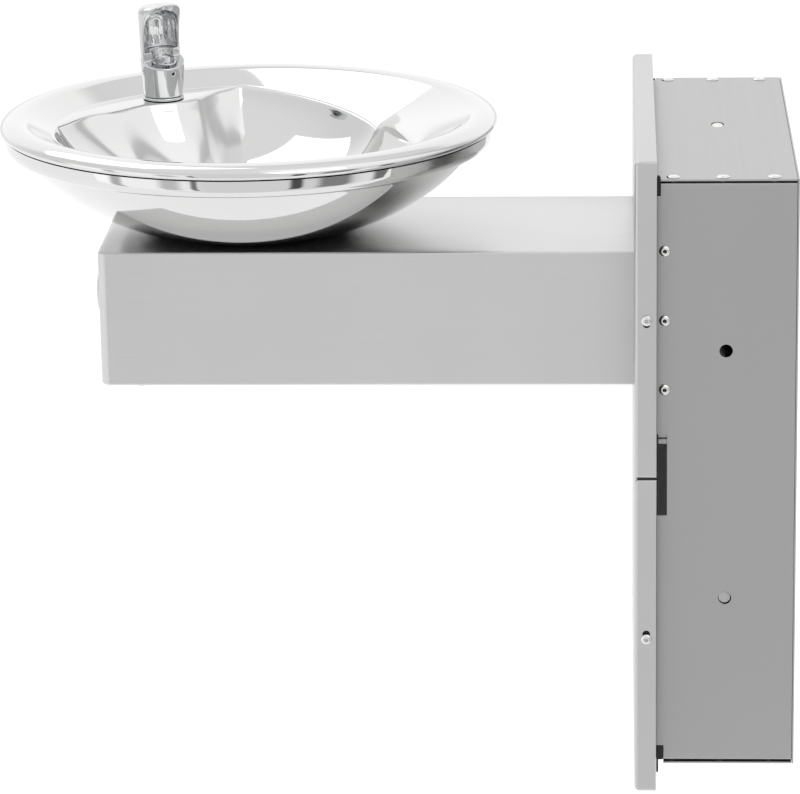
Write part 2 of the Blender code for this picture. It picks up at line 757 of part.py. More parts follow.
def hood_outline(outer, inner, spread):
    """A crescent around the bubbler's axis, on the side away from the basin's middle."""
    away = math.atan2(BUBBLER_PLACE.y - BOWL_CENTRE.y, BUBBLER_PLACE.x)
    steps = 8
    points = []
    for radius, order in ((outer, range(steps + 1)), (inner, range(steps, -1, -1))):
        for step in order:
            turn = away + math.radians(spread * (2 * step / steps - 1))
            points.append((
                BUBBLER_PLACE.x + radius * math.cos(turn),
                BUBBLER_PLACE.y + radius * math.sin(turn),
            ))
    return points


def bubbler():
    """A one-piece casting: a round body with a shank below and a hood that shields the outlet."""
    profile = [
        (0, BUBBLER_SHANK), (6.2 * MM, BUBBLER_SHANK), (6.2 * MM, BUBBLER_FOOT),
        (FOOT_RADIUS, BUBBLER_FOOT),
        (BUBBLER_RADIUS, BUBBLER_SEAT - 1 * MM), (BUBBLER_RADIUS - 1 * MM, BUBBLER_SEAT),
        (6 * MM, BUBBLER_SEAT), (5 * MM, BUBBLER_SEAT - 6 * MM), (0, BUBBLER_SEAT - 6 * MM),
    ]
    place = Matrix.Translation(BUBBLER_PLACE)
    body = turned("bubbler", profile, chrome(), 24, place)
    hood = prism(
        "cutter", hood_outline(HOOD_RADIUS, 12 * MM, 95), "Z",
        BUBBLER_SEAT - 7 * MM, HOOD_TOP - 9 * MM, chrome(),
    )
    cap = turned("cutter", [
        (0, HOOD_TOP - 12 * MM), (HOOD_RADIUS, HOOD_TOP - 10 * MM), (15.5 * MM, HOOD_TOP - 4 * MM),
        (10 * MM, HOOD_TOP), (0, HOOD_TOP),
    ], chrome(), 24, place)
    inwards = (BOWL_CENTRE - BUBBLER_PLACE).normalized()
    mouth = towards(inwards, BUBBLER_PLACE + inwards * 6 * MM + Vector((0, 0, HOOD_TOP)))
    combine(cap, [cylinder("cutter", 40 * MM, 0, 40 * MM, chrome(), 16, mouth)])
    combine(body, [hood, cap], "UNION")
    sleeve("bubbler_base_ring", 16 * MM, 6.8 * MM, DECK_HEIGHT + GAP, BUBBLER_FOOT - GAP,
           chrome(), 24, place)
    nut("bubbler_locknut", 18 * MM, 6.8 * MM, 212 * MM, DECK_HEIGHT - SHEET - 1.2 * MM, brass(), place)


# Drain and waste

def drain():
    """The drain clamps the basin between its flange and a locknut. The waste tube runs along the arm."""
    place = Matrix.Translation(BOWL_CENTRE)
    flange = DRAIN_HEIGHT + GAP
    tail = DRAIN_HEIGHT - 50 * MM
    bar = DRAIN_HEIGHT - 9 * MM
    profile = [
        (13.5 * MM, tail), (15.9 * MM, tail), (15.9 * MM, flange),
        (23 * MM, flange), (21.5 * MM, flange + 1.6 * MM), (13.5 * MM, flange + 1.6 * MM),
    ]
    body = turned("drain_body", profile, chrome(), 24, place)
    bar_low = BOWL_CENTRE + Vector((-14.5 * MM, -3.5 * MM, bar - 2 * MM))
    bar_high = BOWL_CENTRE + Vector((14.5 * MM, 3.5 * MM, bar + 2 * MM))
    combine(body, [block("cutter", bar_low, bar_high, chrome())], "UNION")
    screw_way = hole(2.3 * MM, BOWL_CENTRE + Vector((0, 0, bar)), (0, 0, 1), 8 * MM, 8)
    combine(body, [screw_way])

    seat = flange + 1.6 * MM + GAP
    strainer = turned("drain_strainer", [
        (0, seat), (21 * MM, seat), (19.5 * MM, seat + 1.2 * MM), (0, seat + 2 * MM),
    ], chrome(), 24, place)
    cutters = [hole(2.3 * MM, BOWL_CENTRE + Vector((0, 0, seat)), (0, 0, 1), 6 * MM, 8)]
    for number in range(8):
        turn = math.radians(45 * number)
        offset = Vector((math.cos(turn), math.sin(turn), 0)) * 11 * MM
        cutters.append(hole(2.4 * MM, BOWL_CENTRE + offset + Vector((0, 0, seat)), (0, 0, 1), 6 * MM, 8))
    combine(strainer, cutters)
    head = seat + 2 * MM + GAP
    turned("strainer_screw", [
        (0, bar - 6 * MM), (2 * MM, bar - 6 * MM), (2 * MM, head), (4.2 * MM, head),
        (3.2 * MM, head + 1.8 * MM), (0, head + 2.2 * MM),
    ], zinc(), 10, place)

    under = DRAIN_HEIGHT - SHEET - GAP
    sleeve("drain_gasket", 22 * MM, 16.2 * MM, under - 2 * MM, under, black_rubber(), 20, place)
    nut("drain_locknut", 42 * MM, 16.2 * MM, under - 10 * MM, under - 2 * MM - GAP, brass(), place)

    joint = tail + 6 * MM
    turned("waste_slip_nut", [
        (WASTE_TUBE + GAP, joint - 4 * MM), (23 * MM, joint - 4 * MM), (23 * MM, joint + 7 * MM),
        (16.3 * MM, joint + 7 * MM), (16.3 * MM, joint + GAP), (WASTE_TUBE + GAP, joint + GAP),
    ], chrome(), 24, place)

    bore = WASTE_TUBE - 1.5 * MM
    drop_y = -50 * MM
    trap_inlet, trap_outlet, trap_x, trap_low = -60 * MM, -96 * MM, 72 * MM, -141 * MM
    waste = [
        BOWL_CENTRE + Vector((0, 0, joint)), BOWL_CENTRE + Vector((0, 0, WASTE_HEIGHT)),
        (0, drop_y, WASTE_HEIGHT), (0, drop_y, trap_inlet),
    ]
    tube("waste_tube", bent_path(waste, 34 * MM, 5), WASTE_TUBE, bore, chrome(), 12)
    bend = [
        (0, drop_y, trap_inlet - GAP), (0, drop_y, trap_low), (trap_x, drop_y, trap_low),
        (trap_x, drop_y, trap_outlet),
    ]
    tube("trap", bent_path(bend, trap_x / 2 - 0.1 * MM, 6), WASTE_TUBE, bore, chrome(), 12)
    outlet = [
        (trap_x, drop_y, trap_outlet + GAP), (trap_x, drop_y, -60 * MM), (trap_x, -2 * MM, -60 * MM),
    ]
    tube("waste_outlet", bent_path(outlet, 22 * MM, 5), WASTE_TUBE, bore, chrome(), 12)
    for name, x, level in (("trap_inlet_nut", 0, trap_inlet), ("trap_outlet_nut", trap_x, trap_outlet)):
        sleeve(name, 23 * MM, WASTE_TUBE + GAP, level - 8 * MM, level + 8 * MM, chrome(), 24,
               at(x, drop_y, 0))


# Push button and valve. Their +Z runs along the button's axis, into the arm, and their +Y points down.

BUTTON_RADIUS = 18.8 * MM
BEZEL_SLEEVE = 21.4 * MM
BUTTON_PROUD = 10.5 * MM
VALVE_FACE = 15 * MM
VALVE_BACK = 68 * MM
INLET_DEPTH = 52 * MM
OUTLET_DEPTH = 60 * MM
FLOW_SCREW_DEPTH = 56 * MM


def button_frame():
    """The button's own frame, on the middle of the nose."""
    return towards((0, 1, 0), BUTTON_POINT)


def flow_screw_frame():
    """The flow screw's own frame, which points square to the button's axis, downwards."""
    return towards((0, 0, -1), button_frame() @ Vector((0, 0, FLOW_SCREW_DEPTH)))


def button_and_valve():
    axis = bpy.data.objects.new("button_axis", None)
    axis.matrix_world = button_frame()
    bpy.context.scene.collection.objects.link(axis)

    turned("push_button", [
        (0, -BUTTON_PROUD), (12 * MM, -BUTTON_PROUD + 0.5 * MM), (17.4 * MM, -BUTTON_PROUD + 2 * MM),
        (BUTTON_RADIUS, -BUTTON_PROUD + 4.2 * MM), (BUTTON_RADIUS, 5 * MM), (17 * MM, 5 * MM),
        (17 * MM, -6 * MM), (5 * MM, -6 * MM), (5 * MM, 3 * MM), (0, 3 * MM),
    ], chrome(), 24, None, axis)
    turned("button_bezel", [
        (BUTTON_RADIUS + 0.5 * MM, -4.5 * MM), (21.5 * MM, -5 * MM), (25.5 * MM, -3 * MM),
        (26 * MM, -GAP), (BEZEL_SLEEVE, -GAP), (BEZEL_SLEEVE, 14 * MM), (BUTTON_RADIUS + 0.5 * MM, 14 * MM),
    ], chrome(), 24, None, axis)
    nut("bezel_locknut", 50 * MM, BEZEL_SLEEVE + GAP, SHEET + GAP, 7.5 * MM, brass(), None, axis)

    body = turned("valve_body", [
        (0, 45 * MM), (9 * MM, 45 * MM), (9 * MM, VALVE_FACE), (18 * MM, VALVE_FACE),
        (18 * MM, VALVE_BACK - 2 * MM), (16 * MM, VALVE_BACK), (0, VALVE_BACK),
    ], brass(), 20, None, axis)
    sideways = towards((-1, 0, 0), (0, 0, INLET_DEPTH))
    upwards = towards((0, -1, 0), (0, 0, OUTLET_DEPTH))
    downwards = towards((0, 1, 0), (0, 0, FLOW_SCREW_DEPTH))
    inlet = cylinder("cutter", 6 * MM, 10 * MM, 30 * MM, brass(), 12, sideways, axis)
    outlet = cylinder("cutter", 6 * MM, 10 * MM, 26 * MM, brass(), 12, upwards, axis)
    combine(body, [inlet, outlet], "UNION")
    screw_way = cylinder("cutter", 4.4 * MM, 12 * MM, 30 * MM, brass(), 12, downwards, axis)
    combine(body, [screw_way])

    turned("valve_plunger", [
        (0, 3.4 * MM), (4.5 * MM, 3.4 * MM), (4.5 * MM, 28 * MM), (8.5 * MM, 30 * MM),
        (8.5 * MM, 38 * MM), (0, 38 * MM),
    ], brass(), 12, None, axis)

    turns, wire, coil = 5, 0.6 * MM, 11 * MM
    low, high = -5.2 * MM, VALVE_FACE - 1 * MM
    steps = turns * 8
    path = []
    for step in range(steps + 1):
        turn = 2 * math.pi * turns * step / steps
        height = low + (high - low) * step / steps
        path.append(Vector((coil * math.cos(turn), coil * math.sin(turn), height)))
    spring = tube("return_spring", path, wire, 0, zinc(), 5)
    spring.parent = axis

    screw_axis = bpy.data.objects.new("flow_screw_axis", None)
    screw_axis.matrix_world = flow_screw_frame()
    bpy.context.scene.collection.objects.link(screw_axis)
    screw = turned("flow_screw", [
        (0, 12.5 * MM), (4.1 * MM, 12.5 * MM), (4.1 * MM, 19 * MM), (6 * MM, 19 * MM),
        (6 * MM, 22 * MM), (0, 22 * MM),
    ], brass(), 12, None, screw_axis)
    slot = block("cutter", (-8 * MM, -0.7 * MM, 20.6 * MM), (8 * MM, 0.7 * MM, 24 * MM), brass())
    slot.parent = screw_axis
    combine(screw, [slot])


# Supply

STOP_VALVE = Vector((SUPPLY_X, -45 * MM, -110 * MM))


def supply():
    """Water comes through the wall to the stop valve, then by the strainer and the arm to the valve."""
    x, y, height = STOP_VALVE
    body = turned("stop_valve", [
        (5 * MM, -43 * MM), (8 * MM, -43 * MM), (8 * MM, -12 * MM), (10 * MM, -10 * MM), (10 * MM, 12 * MM),
        (7 * MM, 14 * MM), (7 * MM, 18 * MM), (4.5 * MM, 18 * MM), (4.5 * MM, 4 * MM), (0, 4 * MM),
        (0, -8 * MM), (5 * MM, -8 * MM),
    ], chrome(), 16, towards((0, -1, 0), STOP_VALVE))
    outlet = cylinder("cutter", 7 * MM, 5 * MM, 22 * MM, chrome(), 12, at(x, y, height))
    combine(body, [outlet], "UNION")

    stem_axis = bpy.data.objects.new("stop_valve_axis", None)
    stem_axis.matrix_world = towards((0, -1, 0), STOP_VALVE)
    bpy.context.scene.collection.objects.link(stem_axis)
    oval = []
    for step in range(16):
        turn = 2 * math.pi * step / 16
        oval.append((20 * MM * math.cos(turn), 9 * MM * math.sin(turn)))
    handle = prism("stop_valve_handle", oval, "Z", 20 * MM, 28 * MM, chrome(), stem_axis)
    stem = cylinder("cutter", 4 * MM, 5 * MM, 22 * MM, chrome(), 12, None, stem_axis)
    combine(handle, [stem], "UNION")

    strainer_low, strainer_high = -40 * MM, 12 * MM
    low_end = height + 22 * MM + GAP
    lower = [Vector((x, y, low_end)), Vector((x, y, strainer_low - GAP))]
    tube("lower_supply_tube", lower, WATER_TUBE, WATER_BORE, chrome(), 10)
    turned("supply_strainer", [
        (0, strainer_low), (5 * MM, strainer_low), (5 * MM, strainer_low + 6 * MM),
        (11 * MM, strainer_low + 10 * MM), (11 * MM, strainer_high - 10 * MM),
        (5 * MM, strainer_high - 6 * MM), (5 * MM, strainer_high), (0, strainer_high),
    ], white_plastic(), 16, at(x, y, 0))

    inlet = button_frame() @ Vector((-30 * MM - GAP, 0, INLET_DEPTH))
    upper = [
        (x, y, strainer_high + GAP), (x, y, inlet.z), (x, inlet.y, inlet.z), inlet,
    ]
    tube("upper_supply_tube", bent_path(upper, 20 * MM), WATER_TUBE, WATER_BORE, chrome())

    outlet_end = button_frame() @ Vector((0, -26 * MM - GAP, OUTLET_DEPTH))
    level = ARM_TOP - 12.8 * MM
    cavity = SHELL_BOTTOM + 13.2 * MM
    route = [
        outlet_end, Vector((0, outlet_end.y, level)), Vector((*TUBE_PASSAGE.xy, level)),
        Vector((*TUBE_PASSAGE.xy, cavity)), Vector((*BUBBLER_PLACE.xy, cavity + 25 * MM)),
        Vector((*BUBBLER_PLACE.xy, BUBBLER_SHANK - GAP)),
    ]
    tube("bubbler_tube", bent_path(route, 7 * MM, 3), WATER_TUBE, WATER_BORE, chrome())


def clear_scene():
    for item in list(bpy.data.objects):
        bpy.data.objects.remove(item, do_unlink=True)


def main():
    clear_scene()
    wall_box()
    side_rivets()
    arm_mounting_plate()
    panel_rails()
    front_panels()
    arm()
    basin()
    bowl_shell()
    bowl_support_ring()
    bubbler()
    drain()
    button_and_valve()
    supply()


main()
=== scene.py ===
"""The looks of a wall-mounted drinking fountain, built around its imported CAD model.

Lengths are metres in the CAD frame: +Z is up, the wall is towards +Y and the user stands at -Y.
"""

import json
import math

import bmesh
import bpy
import numpy as np
from mathutils import Matrix, Vector

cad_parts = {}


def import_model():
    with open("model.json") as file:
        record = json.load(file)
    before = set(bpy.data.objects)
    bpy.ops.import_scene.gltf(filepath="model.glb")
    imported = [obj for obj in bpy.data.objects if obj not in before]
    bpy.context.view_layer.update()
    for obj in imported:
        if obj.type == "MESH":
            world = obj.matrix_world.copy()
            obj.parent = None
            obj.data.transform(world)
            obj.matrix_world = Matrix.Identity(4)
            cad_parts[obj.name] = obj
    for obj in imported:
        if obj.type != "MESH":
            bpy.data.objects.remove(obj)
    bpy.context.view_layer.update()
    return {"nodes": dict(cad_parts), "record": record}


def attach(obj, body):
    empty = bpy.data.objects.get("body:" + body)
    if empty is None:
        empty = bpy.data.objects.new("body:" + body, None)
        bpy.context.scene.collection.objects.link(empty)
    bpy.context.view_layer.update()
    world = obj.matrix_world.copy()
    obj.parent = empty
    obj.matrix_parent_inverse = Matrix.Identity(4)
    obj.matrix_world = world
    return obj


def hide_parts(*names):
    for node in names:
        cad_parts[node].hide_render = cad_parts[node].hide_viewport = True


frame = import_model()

MM = 0.001
GAP = 0.3 * MM
ROOT = "fountain"

# The CAD model's driving dimensions
SHEET = 1.27 * MM
BOX_WIDTH = 351.6 * MM
BOX_HEIGHT = 444.5 * MM
BOX_DEPTH = 101.6 * MM
BOX_LIP = 16 * MM
PANEL_WIDTH = 382.8 * MM
PANEL_HEIGHT = 477.4 * MM
PANEL_DEPTH = 16.1 * MM
SEAM = 1.1 * MM
SEAM_HEIGHT = 3.2 * MM
ARM_WIDTH = 177.8 * MM
ARM_TOP = 147.2 * MM
ARM_BOTTOM = 44.8 * MM
ARM_REACH = 398.8 * MM
NOSE_CORNER = 8 * MM
BOWL_OFFSET = 290.4 * MM
RIM_RADIUS = 188.4 * MM
RIM_CROWN = 234.8 * MM
ROLL_WIDTH = 13 * MM
ROLL_RISE = 7 * MM
ROLL_DROP = 5 * MM
ROLL_START = 135
ROLL_END = -45
FLANGE_RADIUS = 149.7 * MM
FLANGE_HEIGHT = 223.8 * MM
DRAIN_HEIGHT = 157.8 * MM
DRAIN_HOLE = 17 * MM
DRAIN_TAIL = DRAIN_HEIGHT - 50 * MM
DRAIN_BAR = DRAIN_HEIGHT - 9 * MM
STRAINER_SEAT = DRAIN_HEIGHT + GAP + 1.6 * MM + GAP
SHANK_END = 191 * MM
WATER_TUBE = 3.2 * MM
WATER_BORE = 2.2 * MM
WASTE_TUBE = 18 * MM
WASTE_BORE = WASTE_TUBE - 1.5 * MM
WASTE_HEIGHT = 74 * MM
SUPPLY_X = -60 * MM
VALVE_OUTLET = -110 * MM + 22 * MM + GAP
PANEL_FACE = -BOX_DEPTH - PANEL_DEPTH
NOSE = PANEL_FACE - ARM_REACH
BOWL_CENTRE = Vector((0, PANEL_FACE - BOWL_OFFSET, 0))
BUBBLER_PLACE = BOWL_CENTRE + Vector((-103.5, -75.5, 0)) * MM
BUTTON_POINT = Vector((0, NOSE, (ARM_TOP + ARM_BOTTOM) / 2))
PLATE_FRONT = -90.5 * MM
ARM_END = PLATE_FRONT - 3.6 * MM
SCREW_HEIGHTS = [-119.4 * MM, 122.2 * MM]
SLOT_HEIGHTS = [-117.1 * MM, 121.2 * MM]
SLOT_LENGTH = 9 * MM
SLOT_WIDTH = 5.5 * MM
SCREW_Y = PANEL_FACE + 8.6 * MM
SIDE_RIVET_Y = -96 * MM
SIDE_RIVET_HEIGHTS = [66.3 * MM, 118 * MM, 169.7 * MM]
TOP_RIVET_ROWS = [-90 * MM, -54.4 * MM, -17.7 * MM]
TOP_RIVET_X = BOX_WIDTH / 2 - 7.7 * MM
FIXING_HOLE = 4.8 * MM
FIXING_HEIGHTS = [-92.7 * MM, 95.3 * MM]
SIDE_FIXING_Y = -51.7 * MM
BACK_OPENING = (110 * MM, -190 * MM, -38 * MM)
NOTCH_END = BOX_HEIGHT / 2 + 1 * MM
NOTCH_WIDTH = 3 * MM
NOTCHES = [
    (-NOTCH_END, -208.1 * MM, 5.4 * MM),
    (-29.1 * MM, 32.8 * MM, 7.5 * MM),
    (210.2 * MM, NOTCH_END, 2.6 * MM),
]

# How far the box's sides stop short of its top and bottom plates
PLATE_GAP = 1.3 * MM

# How wide the notches at the ends are in the top and bottom plates
PLATE_NOTCH = 9 * MM

# The oval hole in the top plate: its middle and half its length and width
TOP_HOLE = (-4.5 * MM, -54.4 * MM)
TOP_HOLE_REACH = (9.4 * MM, 4.8 * MM)


# Camera and light

def camera():
    """The photograph's viewing angle: from the right side, a little above."""
    pixels_wide = 800
    focal_pixels = 4216.5
    yaw, pitch, roll = -0.053, 0.2824, -0.0158
    place = Vector((3.1118, -0.1319, 0.9141))
    forward = Vector((
        -math.cos(pitch) * math.cos(yaw), math.cos(pitch) * math.sin(yaw), -math.sin(pitch)
    ))
    right = forward.cross(Vector((0, 0, 1))).normalized()
    up = right.cross(forward)
    across = right * math.cos(roll) + up * math.sin(roll)
    upright = up * math.cos(roll) - right * math.sin(roll)
    data = bpy.data.cameras.new("camera")
    data.sensor_fit = "HORIZONTAL"
    data.sensor_width = 36
    data.lens = focal_pixels / pixels_wide * data.sensor_width
    data.clip_end = 100
    item = bpy.data.objects.new("camera", data)
    turn = Matrix((across, upright, -forward)).transposed().to_4x4()
    item.matrix_world = Matrix.Translation(place) @ turn
    bpy.context.scene.collection.objects.link(item)
    bpy.context.scene.camera = item


class Nodes:
    """Short forms for building a node tree."""

    def __init__(self, tree):
        self.tree = tree

    def add(self, kind, values=None, **settings):
        node = self.tree.nodes.new(kind)
        for key, value in settings.items():
            setattr(node, key, value)
        for key, value in (values or {}).items():
            if isinstance(value, bpy.types.NodeSocket):
                self.tree.links.new(value, node.inputs[key])
            else:
                node.inputs[key].default_value = value
        return node

    def math(self, operation, first, second=0.0, third=0.0):
        return self.add(
            "ShaderNodeMath", {0: first, 1: second, 2: third}, operation=operation
        ).outputs[0]

    def mix(self, share, first, second):
        node = self.add("ShaderNodeMix", {0: share, 6: first, 7: second}, data_type="RGBA")
        return node.outputs[2]

    def band(self, value, low, high):
        """0 below low, 1 above high, eased between."""
        node = self.add(
            "ShaderNodeMapRange",
            {"Value": value, "From Min": low, "From Max": high, "To Min": 0.0, "To Max": 1.0},
            interpolation_type="SMOOTHSTEP",
        )
        return node.outputs["Result"]


def world():
    """A pale studio with brighter walls beside and before the fountain, and a few soft grey flags."""
    studio = bpy.data.worlds.new("studio")
    bpy.context.scene.world = studio
    studio.use_nodes = True
    tree = studio.node_tree
    tree.nodes.clear()
    n = Nodes(tree)
    direction = n.add("ShaderNodeTexCoord").outputs["Generated"]
    parts = n.add("ShaderNodeSeparateXYZ", {0: direction})
    x, y, z = parts.outputs[0], parts.outputs[1], parts.outputs[2]
    azimuth = n.math("DEGREES", n.math("ARCTAN2", y, x))
    level = n.math("ADD", 0.90, n.math("MULTIPLY", n.band(z, 0.6, 0.95), 0.10))
    for centre, half_width, soft, low, high, change in (
        (70, 40, 12, 0.34, 1.1, 0.30),
        (180, 50, 15, 0.09, 0.64, 0.31),
        (180, 122, 3, -1.1, 0.03, 0.13),
        (-55, 32, 8, -0.7, 0.30, 0.36),
        (118, 7, 4, 0.09, 0.87, -0.22),
        (-90, 4, 3, -0.6, 0.10, -0.45),
        (-62, 3, 2, -0.6, 0.12, -0.80),
        (-34, 5, 3, -0.6, 0.10, -0.55),
        (-22, 1.5, 1, -0.6, 0.12, -0.80),
        (27, 3, 1.5, -0.6, 0.12, -0.80),
        (46, 8, 3, -0.6, 0.12, -0.60),
        (70, 4, 2, -0.6, 0.14, -0.80),
    ):
        apart = n.math("ABSOLUTE", n.math("SUBTRACT", azimuth, float(centre)))
        offset = n.math("MINIMUM", apart, n.math("SUBTRACT", 360.0, apart))
        inside = n.band(offset, half_width + soft, half_width - soft)
        inside = n.math("MULTIPLY", inside, n.band(z, low - 0.05, low + 0.05))
        inside = n.math("MULTIPLY", inside, n.band(z, high + 0.05, high - 0.05))
        level = n.math("ADD", level, n.math("MULTIPLY", inside, change))
    colour = n.add("ShaderNodeCombineColor", {0: level, 1: level, 2: level})
    background = n.add("ShaderNodeBackground", {"Color": colour.outputs[0], "Strength": 1.0})
    n.add("ShaderNodeOutputWorld", {"Surface": background.outputs[0]})


def area_light(name, place, target, size, power):
    data = bpy.data.lights.new(name, "AREA")
    data.shape = "RECTANGLE"
    data.size, data.size_y = size
    data.energy = power
    item = bpy.data.objects.new(name, data)
    item.location = place
    item.rotation_euler = (Vector(target) - Vector(place)).to_track_quat("-Z", "Y").to_euler()
    bpy.context.scene.collection.objects.link(item)


def studio():
    world()
    area_light("key_softbox", (-1.4, -1.6, 2.6), (0, -0.25, 0.1), (1.8, 1.8), 10)
    area_light("fill_softbox", (1.6, 0.8, 2.4), (0, -0.2, 0.1), (1.5, 1.5), 6)
    floor_level = -0.92
    mesh = bpy.data.meshes.new("studio_floor")
    corners = [(-30, -30), (1, -30), (1, 30), (-30, 30)]
    mesh.from_pydata([(x, y, floor_level) for x, y in corners], [], [(0, 1, 2, 3)])
    floor = bpy.data.objects.new("studio_floor", mesh)
    bpy.context.scene.collection.objects.link(floor)
    material = bpy.data.materials.new("pale_floor")
    material.use_nodes = True
    n = Nodes(material.node_tree)
    shader = material.node_tree.nodes["Principled BSDF"]
    place = n.add("ShaderNodeTexCoord").outputs["Object"]
    noise = n.add("ShaderNodeTexNoise", {"Vector": place, "Scale": 3.0, "Detail": 4.0})
    tone = n.mix(noise.outputs[0], (0.88, 0.88, 0.88, 1), (0.90, 0.90, 0.90, 1))
    material.node_tree.links.new(tone, shader.inputs["Base Color"])
    shader.inputs["Roughness"].default_value = 0.9
    shader.inputs["Emission Color"].default_value = (1, 1, 1, 1)
    shader.inputs["Emission Strength"].default_value = 0.20
    mesh.materials.append(material)
    bpy.context.scene.view_settings.view_transform = "Standard"


# Materials

def metal(name, colour, roughness, spread=0.05, brushing=None, fine=900, bump=0.0, mottle=0.03,
          mottle_scale=18, metallic=1.0):
    """Metal whose tone and gloss vary a little. Brushing names the axis the brush marks run along."""
    material = bpy.data.materials.new(name)
    material.use_nodes = True
    tree = material.node_tree
    n = Nodes(tree)
    shader = tree.nodes["Principled BSDF"]
    place = n.add("ShaderNodeTexCoord").outputs["Object"]
    cloud = n.add(
        "ShaderNodeTexNoise", {"Vector": place, "Scale": mottle_scale, "Detail": 3.0}
    ).outputs[0]
    stretch = [fine] * 3
    if brushing is not None:
        stretch["XYZ".index(brushing)] = fine / 160
    marks = n.add("ShaderNodeMapping", {"Vector": place, "Scale": stretch})
    grain = n.add(
        "ShaderNodeTexNoise",
        {"Vector": marks.outputs[0], "Scale": 1.0, "Detail": 2.0, "Roughness": 0.6},
    ).outputs[0]
    dark = tuple(c * (1 - mottle) for c in colour) + (1,)
    light = tuple(min(1, c * (1 + mottle)) for c in colour) + (1,)
    share = n.math("ADD", n.math("MULTIPLY", cloud, 0.5), n.math("MULTIPLY", grain, 0.5))
    tree.links.new(n.mix(share, dark, light), shader.inputs["Base Color"])
    swing = n.math("MULTIPLY", n.math("SUBTRACT", grain, 0.5), 2 * spread)
    tree.links.new(n.math("ADD", roughness, swing), shader.inputs["Roughness"])
    shader.inputs["Metallic"].default_value = metallic
    if bump:
        relief = n.add("ShaderNodeBump", {"Height": grain, "Strength": bump, "Distance": 0.0002})
        tree.links.new(relief.outputs[0], shader.inputs["Normal"])
    return material


BRUSHED_ARM = metal("brushed_arm", (0.60, 0.60, 0.598), 0.30, 0.06, "Y", 700, 0.25, 0.05)
BRUSHED_PANEL = metal("brushed_panel", (0.54, 0.54, 0.538), 0.33, 0.06, "Z", 700, 0.25, 0.05)
SATIN_BOX = metal("satin_box", (0.405, 0.405, 0.404), 0.38, 0.05, "Z", 500, 0.15, 0.035, 9)
SATIN_TOP = metal("satin_top", (0.445, 0.445, 0.444), 0.38, 0.05, "X", 500, 0.15, 0.035, 9)
MIRROR = metal("polished_stainless", (0.675, 0.675, 0.672), 0.04, 0.012, None, 260, 0.0, 0.012, 30)
CHROME = metal("chrome_plate", (0.56, 0.565, 0.57), 0.025, 0.01, None, 300, 0.0, 0.01, 40)
ZINC = metal("zinc_plate", (0.74, 0.74, 0.73), 0.22, 0.08, None, 900, 0.2, 0.06, 60)
GALVANISED = metal("galvanised_sheet", (0.52, 0.53, 0.54), 0.42, 0.10, None, 140, 0.1, 0.10, 45)
BRASS = metal("machined_brass", (0.72, 0.55, 0.28), 0.26, 0.06, None, 900, 0.2, 0.06, 50)
# Near-black steel that also stands for painted shade: the rivets' hollow cores, the rails and hooks in the
# notches and the set screw in its hole are this dark for the shade in these recesses.
DARK_STEEL_AND_SHADE = metal("dark_steel_and_painted_shade", (0.05, 0.05, 0.05), 0.5, 0.05, None, 500, 0.0, 0.1, 50)
RUBBER = metal("black_rubber", (0.03, 0.03, 0.03), 0.75, 0.08, None, 900, 0.4, 0.2, 60, 0.0)
WHITE_PLASTIC = metal("white_plastic", (0.78, 0.78, 0.76), 0.38, 0.05, None, 700, 0.1, 0.03, 40, 0.0)


# Mesh building

def piece(name, points, faces, material, replaced=(), body=ROOT, smooth_angle=30):
    """A new piece with outward normals that rides on a body and stands for CAD nodes."""
    mesh = bpy.data.meshes.new(name)
    mesh.from_pydata([tuple(point) for point in points], [], [tuple(face) for face in faces])
    shape = bmesh.new()
    shape.from_mesh(mesh)
    bmesh.ops.recalc_face_normals(shape, faces=shape.faces)
    shape.to_mesh(mesh)
    shape.free()
    return dress(name, mesh, material, replaced, body, smooth_angle)


def dress(name, mesh, material, replaced=(), body=ROOT, smooth_angle=30):
    mesh.name = name
    mesh.materials.clear()
    mesh.materials.append(material)
    mesh.shade_smooth()
    mesh.set_sharp_from_angle(angle=math.radians(smooth_angle))
    item = bpy.data.objects.new(name, mesh)
    bpy.context.scene.collection.objects.link(item)
    if body:
        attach(item, body)
        for node in replaced:
            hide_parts(node)
    return item


def loose(points, faces):
    """A plain object that only serves as a Boolean's input."""
    return piece("loose", points, faces, ZINC, body=None)


def settled(item):
    """The mesh of an object after its modifiers. The object itself is removed."""
    graph = bpy.context.evaluated_depsgraph_get()
    mesh = bpy.data.meshes.new_from_object(item.evaluated_get(graph))
    bpy.data.objects.remove(item)
    return mesh


def carve(item, cutters, operation="DIFFERENCE"):
    """The mesh left after all the cutters have been taken from an object, or joined to it."""
    for cutter in cutters:
        modifier = item.modifiers.new("cut", "BOOLEAN")
        modifier.operation = operation
        modifier.solver = "EXACT"
        modifier.object = cutter
    mesh = settled(item)
    for cutter in cutters:
        bpy.data.objects.remove(cutter)
    return mesh


def soften(item, width, segments=3, angle=35):
    """Rounds the edges of a piece."""
    bevel = item.modifiers.new("rounded_edges", "BEVEL")
    bevel.width = width
    bevel.segments = segments
    bevel.limit_method = "ANGLE"
    bevel.angle_limit = math.radians(angle)
    return item


def loft(rings, closed_along=False):
    """Points and faces that join closed rings of equal length."""
    count = len(rings[0])
    points = [point for ring in rings for point in ring]
    faces = []
    last = len(rings) if closed_along else len(rings) - 1
    for r in range(last):
        a, b = r * count, (r + 1) % len(rings) * count
        for i in range(count):
            j = (i + 1) % count
            faces.append((a + i, a + j, b + j, b + i))
    if not closed_along:
        faces.append(tuple(range(count)))
        faces.append(tuple(range(len(points) - count, len(points))))
    return points, faces


def upright(outline, heights):
    """A solid with an (x, y) outline between two heights, as a Boolean's input."""
    return loose(*loft([[(x, y, z) for x, y in outline] for z in heights]))


def along_y(outline, depths):
    """A solid with an (x, z) outline between two Y values, as a Boolean's input."""
    return loose(*loft([[(x, y, z) for x, z in outline] for y in depths]))


def cuboid(xs, ys, zs):
    """A block between a low and a high value along each axis."""
    return upright([(xs[0], ys[0]), (xs[1], ys[0]), (xs[1], ys[1]), (xs[0], ys[1])], zs)


